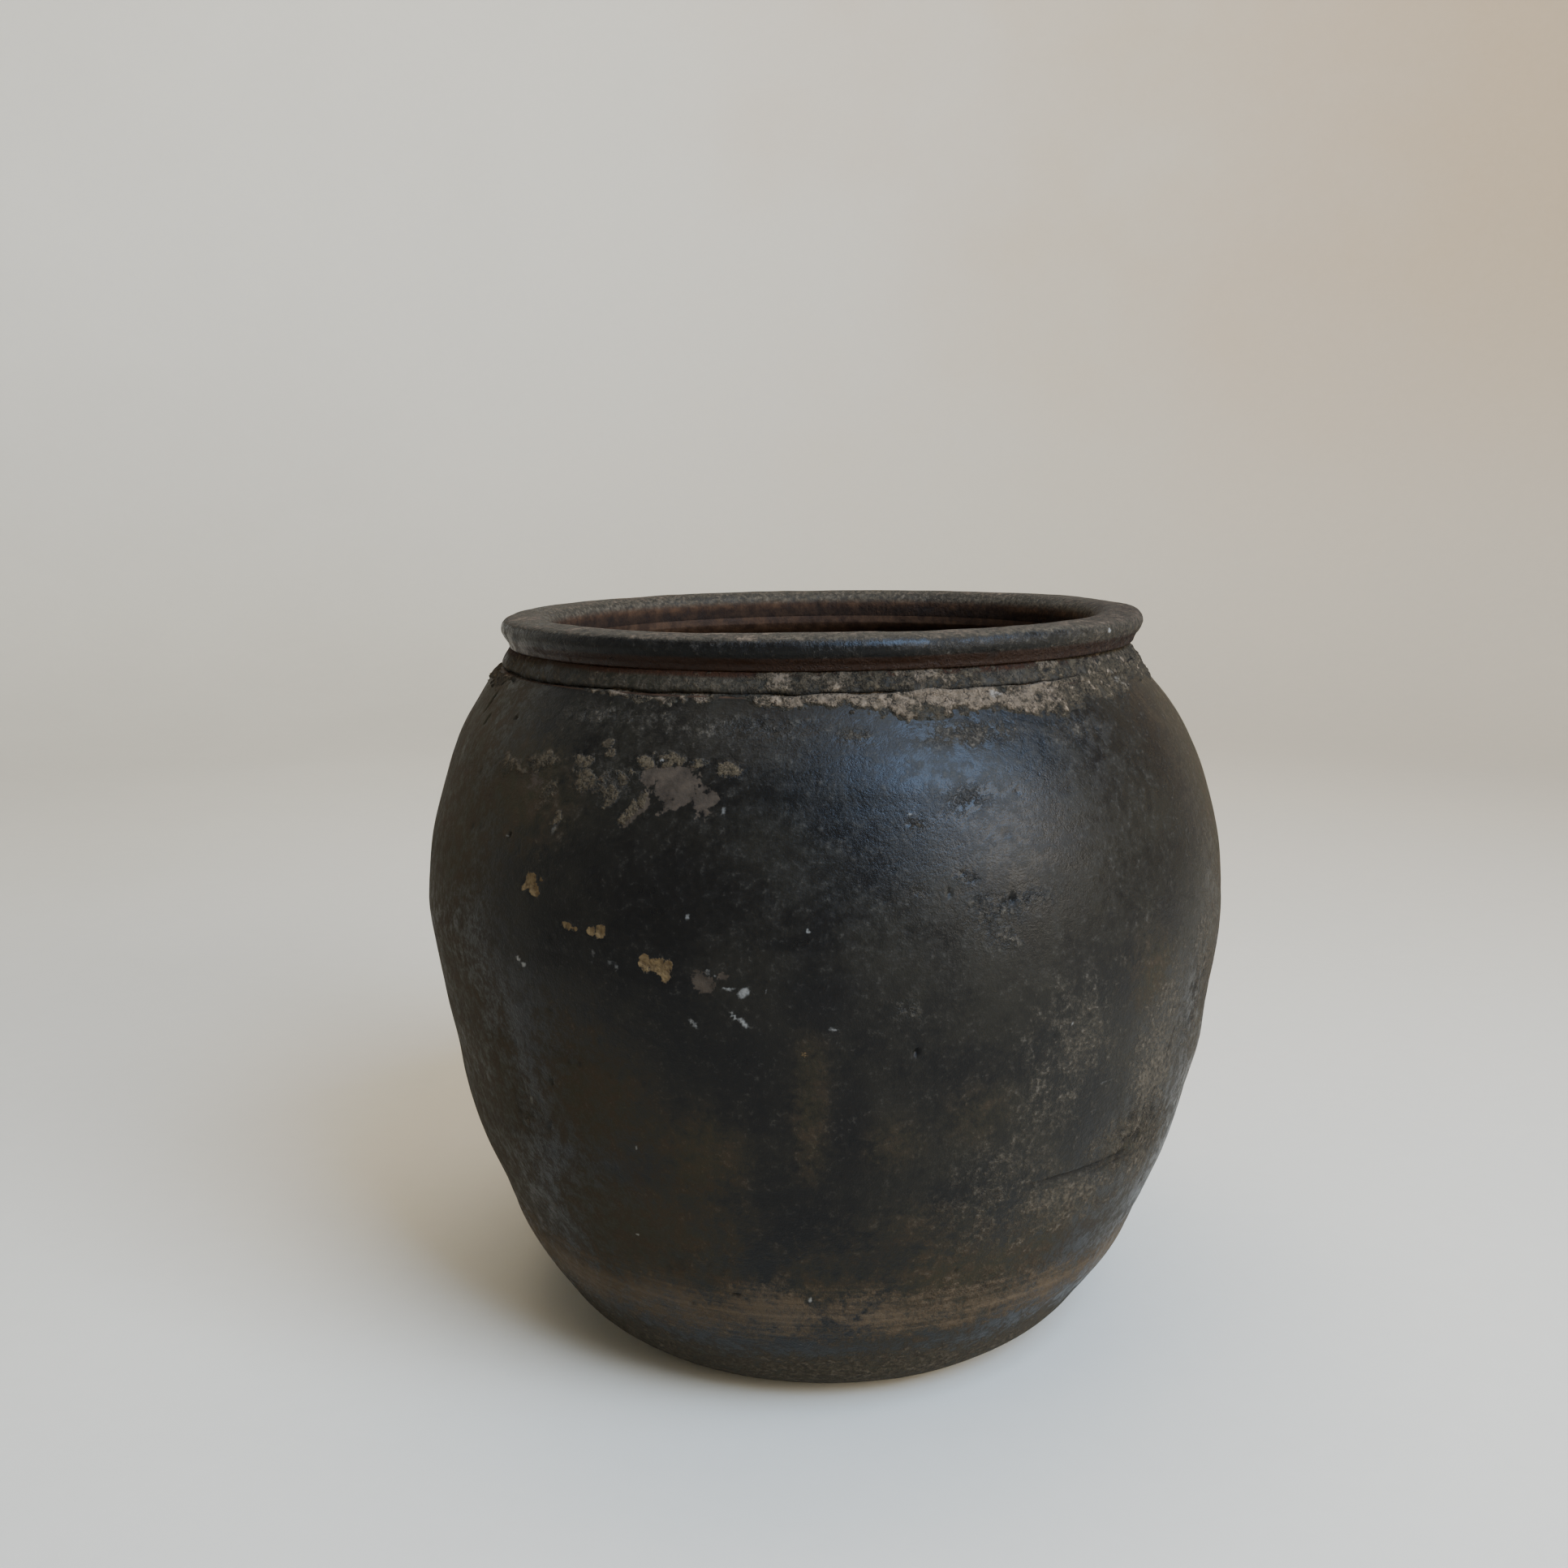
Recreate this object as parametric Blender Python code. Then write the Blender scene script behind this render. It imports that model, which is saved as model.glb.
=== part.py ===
"""A hand-built, smoke-blackened clay pot: a wide round jar with a short collared neck and a rolled lip.

The pot is modelled as the pieces of clay that a potter joins while they are wet. A pressed base slab
carries six courses of wall, each lapped on the bevelled edge of the course below. A collar coil is
wrapped round the neck, a lip coil is laid over a tongue on the neck's top, and a coarse luting of clay
fills the corner under the collar. Metres, +Z up, with the origin at the middle of the foot.
"""

import math

import bmesh
import bpy

# Driving dimensions.
FOOT_RADIUS = 0.120
BELLY_RADIUS = 0.210
BELLY_HEIGHT = 0.235
NECK_HEIGHT = 0.3500  # where the collar's lower edge meets the shoulder
LIP_HEIGHT = 0.3762  # the crest of the lip, and the pot's full height
COLLAR_RADIUS = 0.1668
WAIST_RADIUS = 0.1626  # between the collar and the lip
WAIST_HEIGHT = 0.3602
LIP_RADIUS = 0.1672
THROAT_RADIUS = 0.142
WALL = 0.011
FLOOR = 0.014

# The outside of the wall, as radius and height from the foot to the collar. It is read as a smooth curve.
OUTLINE = (
    (FOOT_RADIUS, 0.0),
    (0.1380, 0.0114),
    (0.1535, 0.0303),
    (0.1855, 0.0985),
    (0.2056, 0.1895),
    (BELLY_RADIUS, BELLY_HEIGHT),
    (0.2030, 0.2806),
    (0.1847, 0.3262),
    (0.1668, NECK_HEIGHT),
)

# Each course of wall starts at its own height on the outside, and laps up over the one below.
COURSES = (
    ("foot_course", 0.012),
    ("lower_course", 0.070),
    ("middle_course", 0.136),
    ("belly_course", 0.190),
    ("upper_course", 0.237),
    ("shoulder_course", 0.310),
)
LAP_RISE = 0.009  # how much higher a lap joint ends inside the wall than it starts outside
JOINT_GAP = 0.0004  # measured upright, which is 0.3 mm square to a lap joint
POINTS_PER_SIDE = 5  # on each side of a course's section
TURN_STEPS = 60  # facets round the pot

# The neck: its wall stands inside the collar, and a tongue on top keys into the lip.
NECK_RADIUS = 0.1560
NECK_FOOT = NECK_HEIGHT + 0.0025
NECK_TOP = 0.3632
SHOULDER_END = 0.3475  # where the inside leaves the shoulder's curve and turns up into the throat
THROAT_TURN = ((0.0003, -0.006), (0.0035, -0.012))  # out from the throat's radius, up from the neck's top
TONGUE_MIDDLE = 0.1495
TONGUE_HALF_WIDTH = 0.004
TONGUE_HEIGHT = 0.003
CONTACT = 0.0003  # clearance between touching pieces

# The outsides of the collar and of the lip, upwards: out from the piece's radius, up from its datum height.
COLLAR_SIDE = (
    (-0.0016, 0.0006),
    (-0.0003, 0.0012),
    (0.0, 0.0026),
    (-0.0010, 0.0052),
    (-0.0027, 0.0077),
)
COLLAR_HEEL = 0.0032  # how far the collar's inner lower edge stands above the shoulder
LIP_SIDE = (
    (-0.0030, -0.0142),
    (-0.0008, -0.0108),
    (0.0, -0.0068),
    (-0.0006, -0.0032),
    (-0.0028, -0.0010),
    (-0.0070, -0.0003),
    (-0.0152, 0.0),
)
LIP_INSIDE = ((0.0055, -0.0007), (0.0018, -0.0030), (0.0, -0.0068))  # out from the throat's radius

# The luting lies in a shallow rebate on the shoulder and stands slightly proud of it.
LUTING_FOOT = 0.3380
LUTING_DEPTH = 0.0018
LUTING_PROUD = 0.0007
LUTING_END = 0.0012  # how far its two edges stay inside the rebate

# Where the inside of the base turns from the wall to the floor, inwards from the wall and up from the floor.
FLOOR_CORNER = ((0.005, 0.002), (0.012, 0.0))

SMOKED_BLACK = (0.020, 0.019, 0.019)
SMOKED_BROWN = (0.045, 0.036, 0.029)
COARSE_CLAY = (0.105, 0.082, 0.062)


def slopes(points):
    """dr/dz at each outline point, as the mean of the slopes on its two sides weighted by nearness."""
    rises = [(b[0] - a[0]) / (b[1] - a[1]) for a, b in zip(points, points[1:])]
    spans = [b[1] - a[1] for a, b in zip(points, points[1:])]
    inner = [
        (rises[i] * spans[i + 1] + rises[i + 1] * spans[i]) / (spans[i] + spans[i + 1])
        for i in range(len(rises) - 1)
    ]
    return [1.5 * rises[0] - 0.5 * inner[0], *inner, 1.5 * rises[-1] - 0.5 * inner[-1]]


OUTLINE_SLOPES = slopes(OUTLINE)


def wall_radius(z):
    """Radius and slope of the outside of the wall at a height: a cubic between each two outline points."""
    i = 0
    while i < len(OUTLINE) - 2 and z > OUTLINE[i + 1][1]:
        i += 1
    (r0, z0), (r1, z1) = OUTLINE[i], OUTLINE[i + 1]
    m0, m1 = OUTLINE_SLOPES[i], OUTLINE_SLOPES[i + 1]
    span = z1 - z0
    t = (z - z0) / span
    radius = (
        (2 * t**3 - 3 * t**2 + 1) * r0
        + (t**3 - 2 * t**2 + t) * span * m0
        + (3 * t**2 - 2 * t**3) * r1
        + (t**3 - t**2) * span * m1
    )
    slope = (
        (6 * t**2 - 6 * t) * (r0 - r1) / span
        + (3 * t**2 - 4 * t + 1) * m0
        + (3 * t**2 - 2 * t) * m1
    )
    return radius, slope


def wall_point(z, depth=0.0):
    """The point of the wall that lies depth metres inside its outer surface, square to it, at height z."""
    radius, slope = wall_radius(z)
    length = math.hypot(1.0, slope)
    return radius - depth / length, z + depth * slope / length


def offset(radius, height, steps):
    """The points that lie those steps out and up from a radius and height."""
    return [(radius + out, height + up) for out, up in steps]


def spread(low, high, count):
    return [low + (high - low) * i / (count - 1) for i in range(count)]


def clay(name, colour, roughness):
    """A matt, smoke-fired clay."""
    material = bpy.data.materials.new(name)
    material.use_nodes = True
    shader = material.node_tree.nodes["Principled BSDF"]
    shader.inputs["Base Color"].default_value = (*colour, 1.0)
    shader.inputs["Roughness"].default_value = roughness
    shader.inputs["Metallic"].default_value = 0.0
    return material


def turned(name, section, colour, roughness):
    """One piece of clay, made by turning its section once round the pot's axis."""
    shape = bmesh.new()
    points = [shape.verts.new((radius, 0.0, z)) for radius, z in section]
    edges = [shape.edges.new(pair) for pair in zip(points, points[1:])]
    if section[0][0] > 0.0:
        edges.append(shape.edges.new((points[-1], points[0])))
    bmesh.ops.spin(
        shape,
        geom=[*points, *edges],
        cent=(0.0, 0.0, 0.0),
        axis=(0.0, 0.0, 1.0),
        angle=math.tau,
        steps=TURN_STEPS,
        use_merge=True,
    )
    bmesh.ops.remove_doubles(shape, verts=shape.verts, dist=1e-6)
    bmesh.ops.recalc_face_normals(shape, faces=shape.faces)
    mesh = bpy.data.meshes.new(name)
    shape.to_mesh(mesh)
    shape.free()
    mesh.shade_smooth()
    mesh.set_sharp_from_angle(angle=math.radians(35))
    mesh.materials.append(clay(name + "_clay", colour, roughness))
    piece = bpy.data.objects.new(name, mesh)
    bpy.context.scene.collection.objects.link(piece)
    return piece


def base_slab():
    """The pot's floor, pressed in a shallow mould, so that its edge turns up to meet the first course."""
    top = COURSES[0][1] - JOINT_GAP / 2
    outside = [wall_point(z) for z in spread(0.0, top, 4)]
    inside = wall_point(top + LAP_RISE / 2, WALL)
    corner = [(inside[0] - step, FLOOR + rise) for step, rise in FLOOR_CORNER]
    section = [(0.0, 0.0), *outside, inside, *corner, (0.0, FLOOR)]
    turned("base_slab", section, SMOKED_BROWN, 0.75)


def wall_course(index):
    """A plain course of wall, bevelled at both edges so that it laps on its neighbours."""
    name, start = COURSES[index]
    end = COURSES[index + 1][1]
    low, high = start + JOINT_GAP / 2, end - JOINT_GAP / 2
    low_rise = LAP_RISE / 2 if index == 0 else LAP_RISE
    outside = [wall_point(z) for z in spread(low, high, POINTS_PER_SIDE)]
    inside = [
        wall_point(z, WALL)
        for z in spread(low + low_rise, high + LAP_RISE, POINTS_PER_SIDE)
    ]
    turned(name, outside + inside[::-1], SMOKED_BLACK, 0.42)


def shoulder_course():
    """The last course closes in to the throat and stands up as the neck, with a tongue on its top edge."""
    name, start = COURSES[-1]
    low = start + JOINT_GAP / 2
    outside = [wall_point(z) for z in spread(low, LUTING_FOOT, POINTS_PER_SIDE - 1)]
    rebate = [
        wall_point(LUTING_FOOT + LUTING_DEPTH / 2, LUTING_DEPTH),
        wall_point(NECK_HEIGHT, LUTING_DEPTH),
    ]
    neck = [
        (NECK_RADIUS, NECK_FOOT),
        (NECK_RADIUS, NECK_TOP),
        (TONGUE_MIDDLE + TONGUE_HALF_WIDTH, NECK_TOP),
        (TONGUE_MIDDLE, NECK_TOP + TONGUE_HEIGHT),
        (TONGUE_MIDDLE - TONGUE_HALF_WIDTH, NECK_TOP),
        (THROAT_RADIUS, NECK_TOP),
    ]
    throat = offset(THROAT_RADIUS, NECK_TOP, THROAT_TURN)
    inside = [
        wall_point(z, WALL)
        for z in spread(low + LAP_RISE, SHOULDER_END, POINTS_PER_SIDE)
    ]
    section = outside + rebate + neck + throat + inside[::-1]
    turned(name, section, SMOKED_BLACK, 0.42)


def neck_luting():
    """The coarse clay smeared into the corner under the collar."""
    low, high = LUTING_FOOT + LUTING_END, NECK_HEIGHT - LUTING_END
    proud = [wall_point(z, -LUTING_PROUD) for z in spread(low, high, 3)]
    bed = [wall_point(z, LUTING_DEPTH - CONTACT) for z in (high, low + CONTACT)]
    turned("neck_luting", proud + bed, COARSE_CLAY, 0.9)


def neck_collar():
    """The coil wrapped round the neck. Its lower edge overhangs the shoulder, with an open seam below."""
    inner = NECK_RADIUS + CONTACT
    section = [
        (inner, NECK_HEIGHT + COLLAR_HEEL),
        *offset(COLLAR_RADIUS, NECK_HEIGHT, COLLAR_SIDE),
        (WAIST_RADIUS, WAIST_HEIGHT - CONTACT / 2),
        (inner, NECK_TOP - CONTACT),
    ]
    turned("neck_collar", section, SMOKED_BROWN, 0.7)


def rim_lip():
    """The rolled lip, with a groove underneath that sits over the neck's tongue."""
    bottom = NECK_TOP + CONTACT
    half = TONGUE_HALF_WIDTH + CONTACT
    section = [
        (THROAT_RADIUS, bottom),
        (TONGUE_MIDDLE - half, bottom),
        (TONGUE_MIDDLE, bottom + TONGUE_HEIGHT + CONTACT / 2),
        (TONGUE_MIDDLE + half, bottom),
        (NECK_RADIUS, bottom),
        (WAIST_RADIUS, WAIST_HEIGHT + CONTACT / 2),
        *offset(LIP_RADIUS, LIP_HEIGHT, LIP_SIDE),
        *offset(THROAT_RADIUS, LIP_HEIGHT, LIP_INSIDE),
    ]
    turned("rim_lip", section, SMOKED_BROWN, 0.6)


def build():
    for leftover in list(bpy.data.objects):
        bpy.data.objects.remove(leftover)
    base_slab()
    for index in range(len(COURSES) - 1):
        wall_course(index)
    shoulder_course()
    neck_luting()
    neck_collar()
    rim_lip()


build()
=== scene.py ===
"""The looks of the hand-built black clay pot.

Every piece of clay in the CAD frame is replaced by a finely cut piece of the same place and size. The base
and the six courses are cut from one skin, which runs from the middle of the underside up the outside and
down the inside, so that they meet without a seam. The luting, the collar and the lip have skins of their
own. Marks that the potter, the fire and use left are pressed into the skins, and are carried to the
material as point attributes, together with painted shade for the pits, the lap creases, the gaps and the
undersides of the lip and the collar.

A bearing is measured round the pot in degrees: 0 is the front (-Y), 90 is the right (+X), 180 is the back.
"""

import math
from itertools import product

import bpy
import numpy as np
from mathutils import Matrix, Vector


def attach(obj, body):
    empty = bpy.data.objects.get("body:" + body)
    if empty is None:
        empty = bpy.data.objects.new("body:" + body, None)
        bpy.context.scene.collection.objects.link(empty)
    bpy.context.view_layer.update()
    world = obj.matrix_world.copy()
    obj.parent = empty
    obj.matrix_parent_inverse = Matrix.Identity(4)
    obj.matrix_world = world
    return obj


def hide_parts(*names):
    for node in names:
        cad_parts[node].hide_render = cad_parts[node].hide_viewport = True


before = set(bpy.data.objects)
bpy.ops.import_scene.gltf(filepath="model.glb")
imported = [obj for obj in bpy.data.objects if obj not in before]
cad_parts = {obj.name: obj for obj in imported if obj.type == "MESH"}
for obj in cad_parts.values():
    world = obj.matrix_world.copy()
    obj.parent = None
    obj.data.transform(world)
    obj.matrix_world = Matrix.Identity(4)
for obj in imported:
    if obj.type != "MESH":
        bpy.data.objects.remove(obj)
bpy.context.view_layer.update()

# ---- Sizes, in metres. The outline and the neck repeat the CAD's.

MM = 0.001
OUTLINE = (
    (0.1200, 0.0),
    (0.1380, 0.0114),
    (0.1535, 0.0303),
    (0.1855, 0.0985),
    (0.2056, 0.1895),
    (0.2100, 0.2350),
    (0.2030, 0.2806),
    (0.1847, 0.3262),
    (0.1668, 0.3500),
)
COURSES = (
    ("base_slab", 0.0),
    ("foot_course", 0.012),
    ("lower_course", 0.070),
    ("middle_course", 0.136),
    ("belly_course", 0.190),
    ("upper_course", 0.237),
    ("shoulder_course", 0.310),
)
WALL = 0.011
FLOOR = 0.014
LAP_RISE = 0.009
NECK_HEIGHT = 0.3500
NECK_RADIUS = 0.1560
NECK_TOP = 0.3632
THROAT_RADIUS = 0.142
COLLAR_RADIUS = 0.1668
COLLAR_FOOT = NECK_HEIGHT + 0.0006
WAIST_RADIUS = 0.1626
WAIST_HEIGHT = 0.3602
LIP_RADIUS = 0.1672
LIP_HEIGHT = 0.3762

# Where the wall's skin turns: at the foot, into the neck behind the coils, down the throat, at the floor.
UNDERSIDE_RADIUS = 0.112
FOOT_CORNER = 0.1205
FOOT_TURN = 0.0055
NECK_FOOT = NECK_HEIGHT + 0.003
NECK_CORNER = (NECK_RADIUS + 0.002, NECK_HEIGHT + 0.0005)
NECK_SHELF = ((0.1495, NECK_TOP + 0.002), (0.1440, NECK_TOP))
NECK_SECTION = ((NECK_RADIUS, 0.3560), (NECK_RADIUS, NECK_TOP), *NECK_SHELF)
THROAT_BACK = THROAT_RADIUS + 0.0004  # just behind the lip's own skin
THROAT_CORNER = 0.3585
THROAT_FOOT = 0.3570
THROAT_FLARE = 0.0003
UNDER_NECK_CORNER = 0.3520
UNDER_NECK_FLARE = 0.0025
UNDER_NECK = 0.3475
FLOOR_CORNER = 0.005
FLOOR_TURN = 0.022

# Sections of the collar, the lip and the luting: (radius, height), with their hidden backs.
COLLAR_SECTION = (
    (0.1590, COLLAR_FOOT + 0.0018),
    (COLLAR_RADIUS - 0.0022, COLLAR_FOOT + 0.0001),
    (COLLAR_RADIUS - 0.0005, COLLAR_FOOT + 0.0005),
    (COLLAR_RADIUS, COLLAR_FOOT + 0.0022),
    (COLLAR_RADIUS - 0.0010, COLLAR_FOOT + 0.0046),
    (COLLAR_RADIUS - 0.0026, COLLAR_FOOT + 0.0072),
    (WAIST_RADIUS, WAIST_HEIGHT),
    (0.1600, WAIST_HEIGHT + 0.0012),
    (0.1566, WAIST_HEIGHT + 0.0008),
    (0.1562, COLLAR_FOOT + 0.0060),
)
LIP_SECTION = (
    (THROAT_RADIUS + 0.0003, 0.3616),
    (THROAT_RADIUS + 0.0011, 0.3598),
    (THROAT_RADIUS + 0.0022, 0.3610),
    (0.1455, NECK_TOP + 0.0003),
    (0.1530, NECK_TOP + 0.0004),
    (0.1590, NECK_TOP - 0.0008),
    (WAIST_RADIUS - 0.0002, WAIST_HEIGHT + 0.0003),
    (LIP_RADIUS - 0.0036, LIP_HEIGHT - 0.0130),
    (LIP_RADIUS - 0.0014, LIP_HEIGHT - 0.0098),
    (LIP_RADIUS, LIP_HEIGHT - 0.0064),
    (LIP_RADIUS - 0.0006, LIP_HEIGHT - 0.0032),
    (LIP_RADIUS - 0.0028, LIP_HEIGHT - 0.0010),
    (LIP_RADIUS - 0.0070, LIP_HEIGHT - 0.0003),
    (0.1520, LIP_HEIGHT),
    (0.1475, LIP_HEIGHT - 0.0006),
    (THROAT_RADIUS + 0.0018, LIP_HEIGHT - 0.0030),
    (THROAT_RADIUS, LIP_HEIGHT - 0.0068),
    (THROAT_RADIUS, NECK_TOP + 0.0010),
)
LUTING_FOOT = 0.322
LUTING_CORNER = (0.1625, 0.3552)
LUTING_TOP = (0.1580, WAIST_HEIGHT + 0.0004)
LUTING_BACK = ((0.1560, 0.3600), (0.1562, 0.3550), (0.1600, 0.3500), (0.1740, 0.3345), (0.1810, 0.3240))

# How finely the skins are cut: columns round the pot, steps along the section, and rows of short stretches.
TURNS = 1080
ROW_STEP = 0.0012
NECK_STEP = 0.0011
LIP_STEP = 0.0009
INSIDE_STEP = 0.0045
UNDERSIDE_ROWS = 8
FOOT_ROWS = 10
NECK_ROWS = 8
BEND_ROWS = 10
FLOOR_ROWS = 24
LUTING_ROWS = 48
LUTING_UP_ROWS = 18
CAP_RADIUS = 0.002  # the flat disc that closes the floor in the middle, above and below

# The neck leans a little: the lip stands higher on the right, and its middle is left of the belly's.
NECK_TILT = math.radians(0.8)
NECK_SHIFT = -0.0025
LEAN_FROM = 0.29
LEAN_FULL = 0.345

# ---- Marks on the wall. Each is (bearing, height, width, height of the mark, lean, strength); sizes in mm.

# Bulges and hollows that the potter's hands left: bearing, height, spread in degrees and in mm, mm outwards.
BULGES = (
    (-82, 345, 45, 9, 1.5),
    (-82, 263, 40, 16, 0.7),
    (-78, 228, 38, 14, 0.7),
    (-78, 156, 42, 17, -1.2),
    (-74, 80, 40, 16, -1.3),
    (82, 344, 40, 10, -0.9),
    (78, 240, 38, 18, -0.7),
    (76, 160, 40, 14, 1.2),
    (72, 100, 38, 22, 0.8),
    (70, 52, 40, 12, 0.8),
    (28, 281, 16, 12, 0.5),
    (8, 316, 18, 10, 0.4),
    (160, 200, 35, 25, 1),
    (-140, 120, 30, 20, 0.9),
    (130, 290, 30, 18, -0.8),
)

# Bare brown clay, where the burnished skin has flaked off.
BARE = (
    (-20.5, 314, 34, 27, 0.1, 1),
    (-16.6, 309, 18, 18, 0, 0.9),
    (-25.5, 303, 9, 18, 0.7, 0.9),
    (-24, 317, 12, 16, 0, 0.8),
    (-43, 309, 16, 26, 0, 0.5),
    (-15.4, 233.7, 16, 12, -0.5, 0.8),
    (-13, 236.5, 10, 6, 0, 0.6),
    (3.6, 245.3, 4, 3, 0, 0.5),
    (155, 318, 40, 22, -0.2, 0.9),
    (148, 310, 22, 16, 0.4, 0.8),
    (118, 120, 26, 30, 0.3, 0.5),
    (-150, 250, 18, 22, 0, 0.7),
    (-146, 240, 10, 12, 0.6, 0.7),
    (-112, 305, 30, 16, 0.2, 0.6),
)

# Crumbs of coarse clay stuck to the shoulder.
CRUST = (
    (-50, 314, 26, 12, 0.35, 0.7),
    (-44, 318, 24, 12, 0.2, 0.8),
    (-41, 306, 14, 18, 0.4, 0.5),
    (-35, 321, 16, 10, 0.4, 0.8),
    (-33, 312, 20, 18, -0.6, 0.75),
    (-30, 307, 12, 14, 0.2, 0.6),
    (-28.5, 316, 18, 9, 0, 0.7),
    (-25, 323, 14, 7, 0.05, 0.8),
    (-21.5, 324.4, 18, 7, 0.05, 0.9),
    (-17.5, 323.5, 14, 6, -0.1, 0.8),
    (-13.7, 321.5, 13, 9, 0.3, 0.9),
    (-32, 328.7, 6, 6, 0, 1),
    (-31, 325, 6, 5, 0, 0.8),
    (-26, 304, 8, 16, 0.7, 0.8),
    (-38, 294, 6, 9, 0.2, 0.6),
    (160, 327, 44, 11, 0.1, 0.8),
    (142, 322, 20, 12, 0.3, 0.8),
    (-115, 314, 34, 12, -0.2, 0.7),
    (-106, 318, 14, 10, 0.3, 0.8),
    (-100, 322, 18, 11, 0, 0.7),
    (96, 316, 30, 16, 0.3, 0.7),
)

# Tan chips that go right through the smoke-blackened skin.
CHIPS = (
    (-41, 266, 8.1, 10.4, 0.5, 0.9),
    (-40.2, 262.8, 8.8, 7.8, -0.4, 1),
    (-38.9, 267.8, 2.7, 3.2, 0, 0.7),
    (-34, 250.6, 7.4, 5.2, -0.4, 0.8),
    (-32.7, 249.4, 6.1, 3.9, -0.2, 0.7),
    (-30.3, 249.8, 6.1, 6.5, 0, 0.8),
    (-29, 250.6, 7.4, 7.2, 0, 0.85),
    (-22.8, 240.6, 8.1, 8.5, 0, 0.75),
    (-21.2, 238.6, 10.8, 10.4, -0.2, 0.9),
    (-20, 237, 6.8, 10.4, 0.2, 0.7),
    (-3.7, 203.3, 6.8, 6.5, 0, 0.25),
    (120, 262, 12.2, 9.1, 0.2, 0.9),
    (123, 258, 6.8, 5.2, 0.2, 0.7),
    (151, 232, 9.5, 13, 0, 0.8),
    (-128, 214, 14.9, 9.1, 0.1, 0.9),
    (-124, 211, 6.8, 6.5, 0.1, 0.7),
    (-96, 246, 8.1, 9.1, 0, 0.7),
    (170, 96, 12.2, 7.8, 0, 0.6),
)

# Pale lime marks and smears.
PALE = (
    (-42.3, 230, 4.1, 4.1, -0.5, 1),
    (-41.3, 228.4, 5.4, 3, 0.3, 0.9),
    (-29.9, 238.8, 3.4, 12.2, 0, 0.41),
    (-27.4, 237.6, 6.1, 2.7, 0.4, 0.54),
    (-26.4, 235.6, 2.7, 6.1, -0.4, 0.47),
    (-12.4, 232.2, 9.5, 3, -0.1, 0.74),
    (-10.4, 231, 6.8, 5.4, 0.3, 0.74),
    (-14.9, 238, 3.4, 4.7, 0, 0.61),
    (-13.9, 237.2, 2.7, 3.4, 0, 0.61),
    (-11.8, 220, 3.4, 5.4, -0.8, 0.81),
    (-10.6, 217.2, 3.4, 6.1, -0.6, 0.81),
    (-16.6, 215, 3.4, 6.1, -0.8, 0.61),
    (-23, 323.9, 2.4, 2.2, 0, 1),
    (-38.1, 289.8, 2.7, 6.1, 0.2, 0.54),
    (-46.8, 283, 2.7, 2, 0, 0.54),
    (-17.5, 260.9, 3, 3, 0, 0.54),
    (-9.3, 278.8, 2.4, 3, 0, 0.41),
    (-9, 277.4, 1.9, 2.4, 0, 0.41),
    (-3.2, 257.4, 2.7, 2.7, 0, 0.68),
    (-13.8, 305.1, 4.1, 4.1, 0, 0.47),
    (9.2, 303.8, 2, 2, 0, 0.6),
    (-8, 231.8, 2.7, 2.7, 0, 0.61),
    (-5.6, 232.4, 2.4, 2.4, 0, 0.54),
    (0.9, 241.7, 10.8, 2.7, 0.1, 0.35),
    (-0.6, 215.7, 9, 1.8, 0.05, 0.54),
    (-3.2, 75.3, 2.2, 6.8, 0.1, 0.9),
    (-28.5, 101.3, 3.5, 2.4, -0.3, 1),
    (-26.1, 149.6, 1.6, 4.1, 0.2, 0.81),
    (-44.9, 165, 2.2, 14.9, 0.15, 0.61),
    (-44.3, 158, 3.4, 12.2, 0.1, 0.41),
    (-43.3, 124.5, 6.8, 4.1, -0.8, 0.54),
    (-46.5, 104, 9, 9, -0.7, 0.38),
    (-45, 96, 10.8, 16.2, -0.4, 0.38),
    (-42, 92, 8.1, 12.2, -0.4, 0.3),
    (-24.5, 60, 10.8, 3.4, -0.3, 0.54),
    (-19, 83, 2.7, 2.2, 0, 0.54),
    (40.6, 254, 12, 14, 0.2, 0.16),
    (43, 246, 12, 16, 0.2, 0.16),
    (37.6, 174.5, 16, 2, 0.35, 0.42),
    (36.4, 161.3, 9, 2, 0.3, 0.35),
    (30, 208, 2.4, 2.4, 0, 0.6),
    (18, 190, 2.2, 2.2, 0, 0.5),
    (140, 170, 10, 16, -0.3, 0.35),
    (143, 158, 6, 10, -0.3, 0.3),
    (-165, 150, 8, 16, 0.4, 0.35),
    (-120, 170, 5, 12, -0.2, 0.4),
)

# Scuffed, weathered ground, where the shine is gone: grey-brown and rough.
WORN = (
    (64, 195, 62, 130, 0.1, 0.9),
    (52, 130, 60, 60, -0.3, 0.9),
    (44, 140, 50, 24, -0.4, 0.9),
    (38, 105, 70, 22, -0.4, 0.55),
    (30, 190, 60, 90, 0, 0.45),
    (24, 120, 70, 90, 0, 0.4),
    (-84, 200, 50, 130, 0, 0.35),
    (-52, 105, 60, 60, 0.6, 0.3),
    (-30, 50, 120, 30, 0, 0.4),
    (110, 120, 90, 90, 0, 0.7),
    (-140, 90, 110, 70, 0, 0.7),
    (175, 280, 80, 60, 0, 0.4),
    (-20, 338, 150, 16, 0, 0.22),
    (50, 172, 46, 90, 0, 1.3),
    (34, 118, 80, 20, -0.2, 0.8),
)

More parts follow.
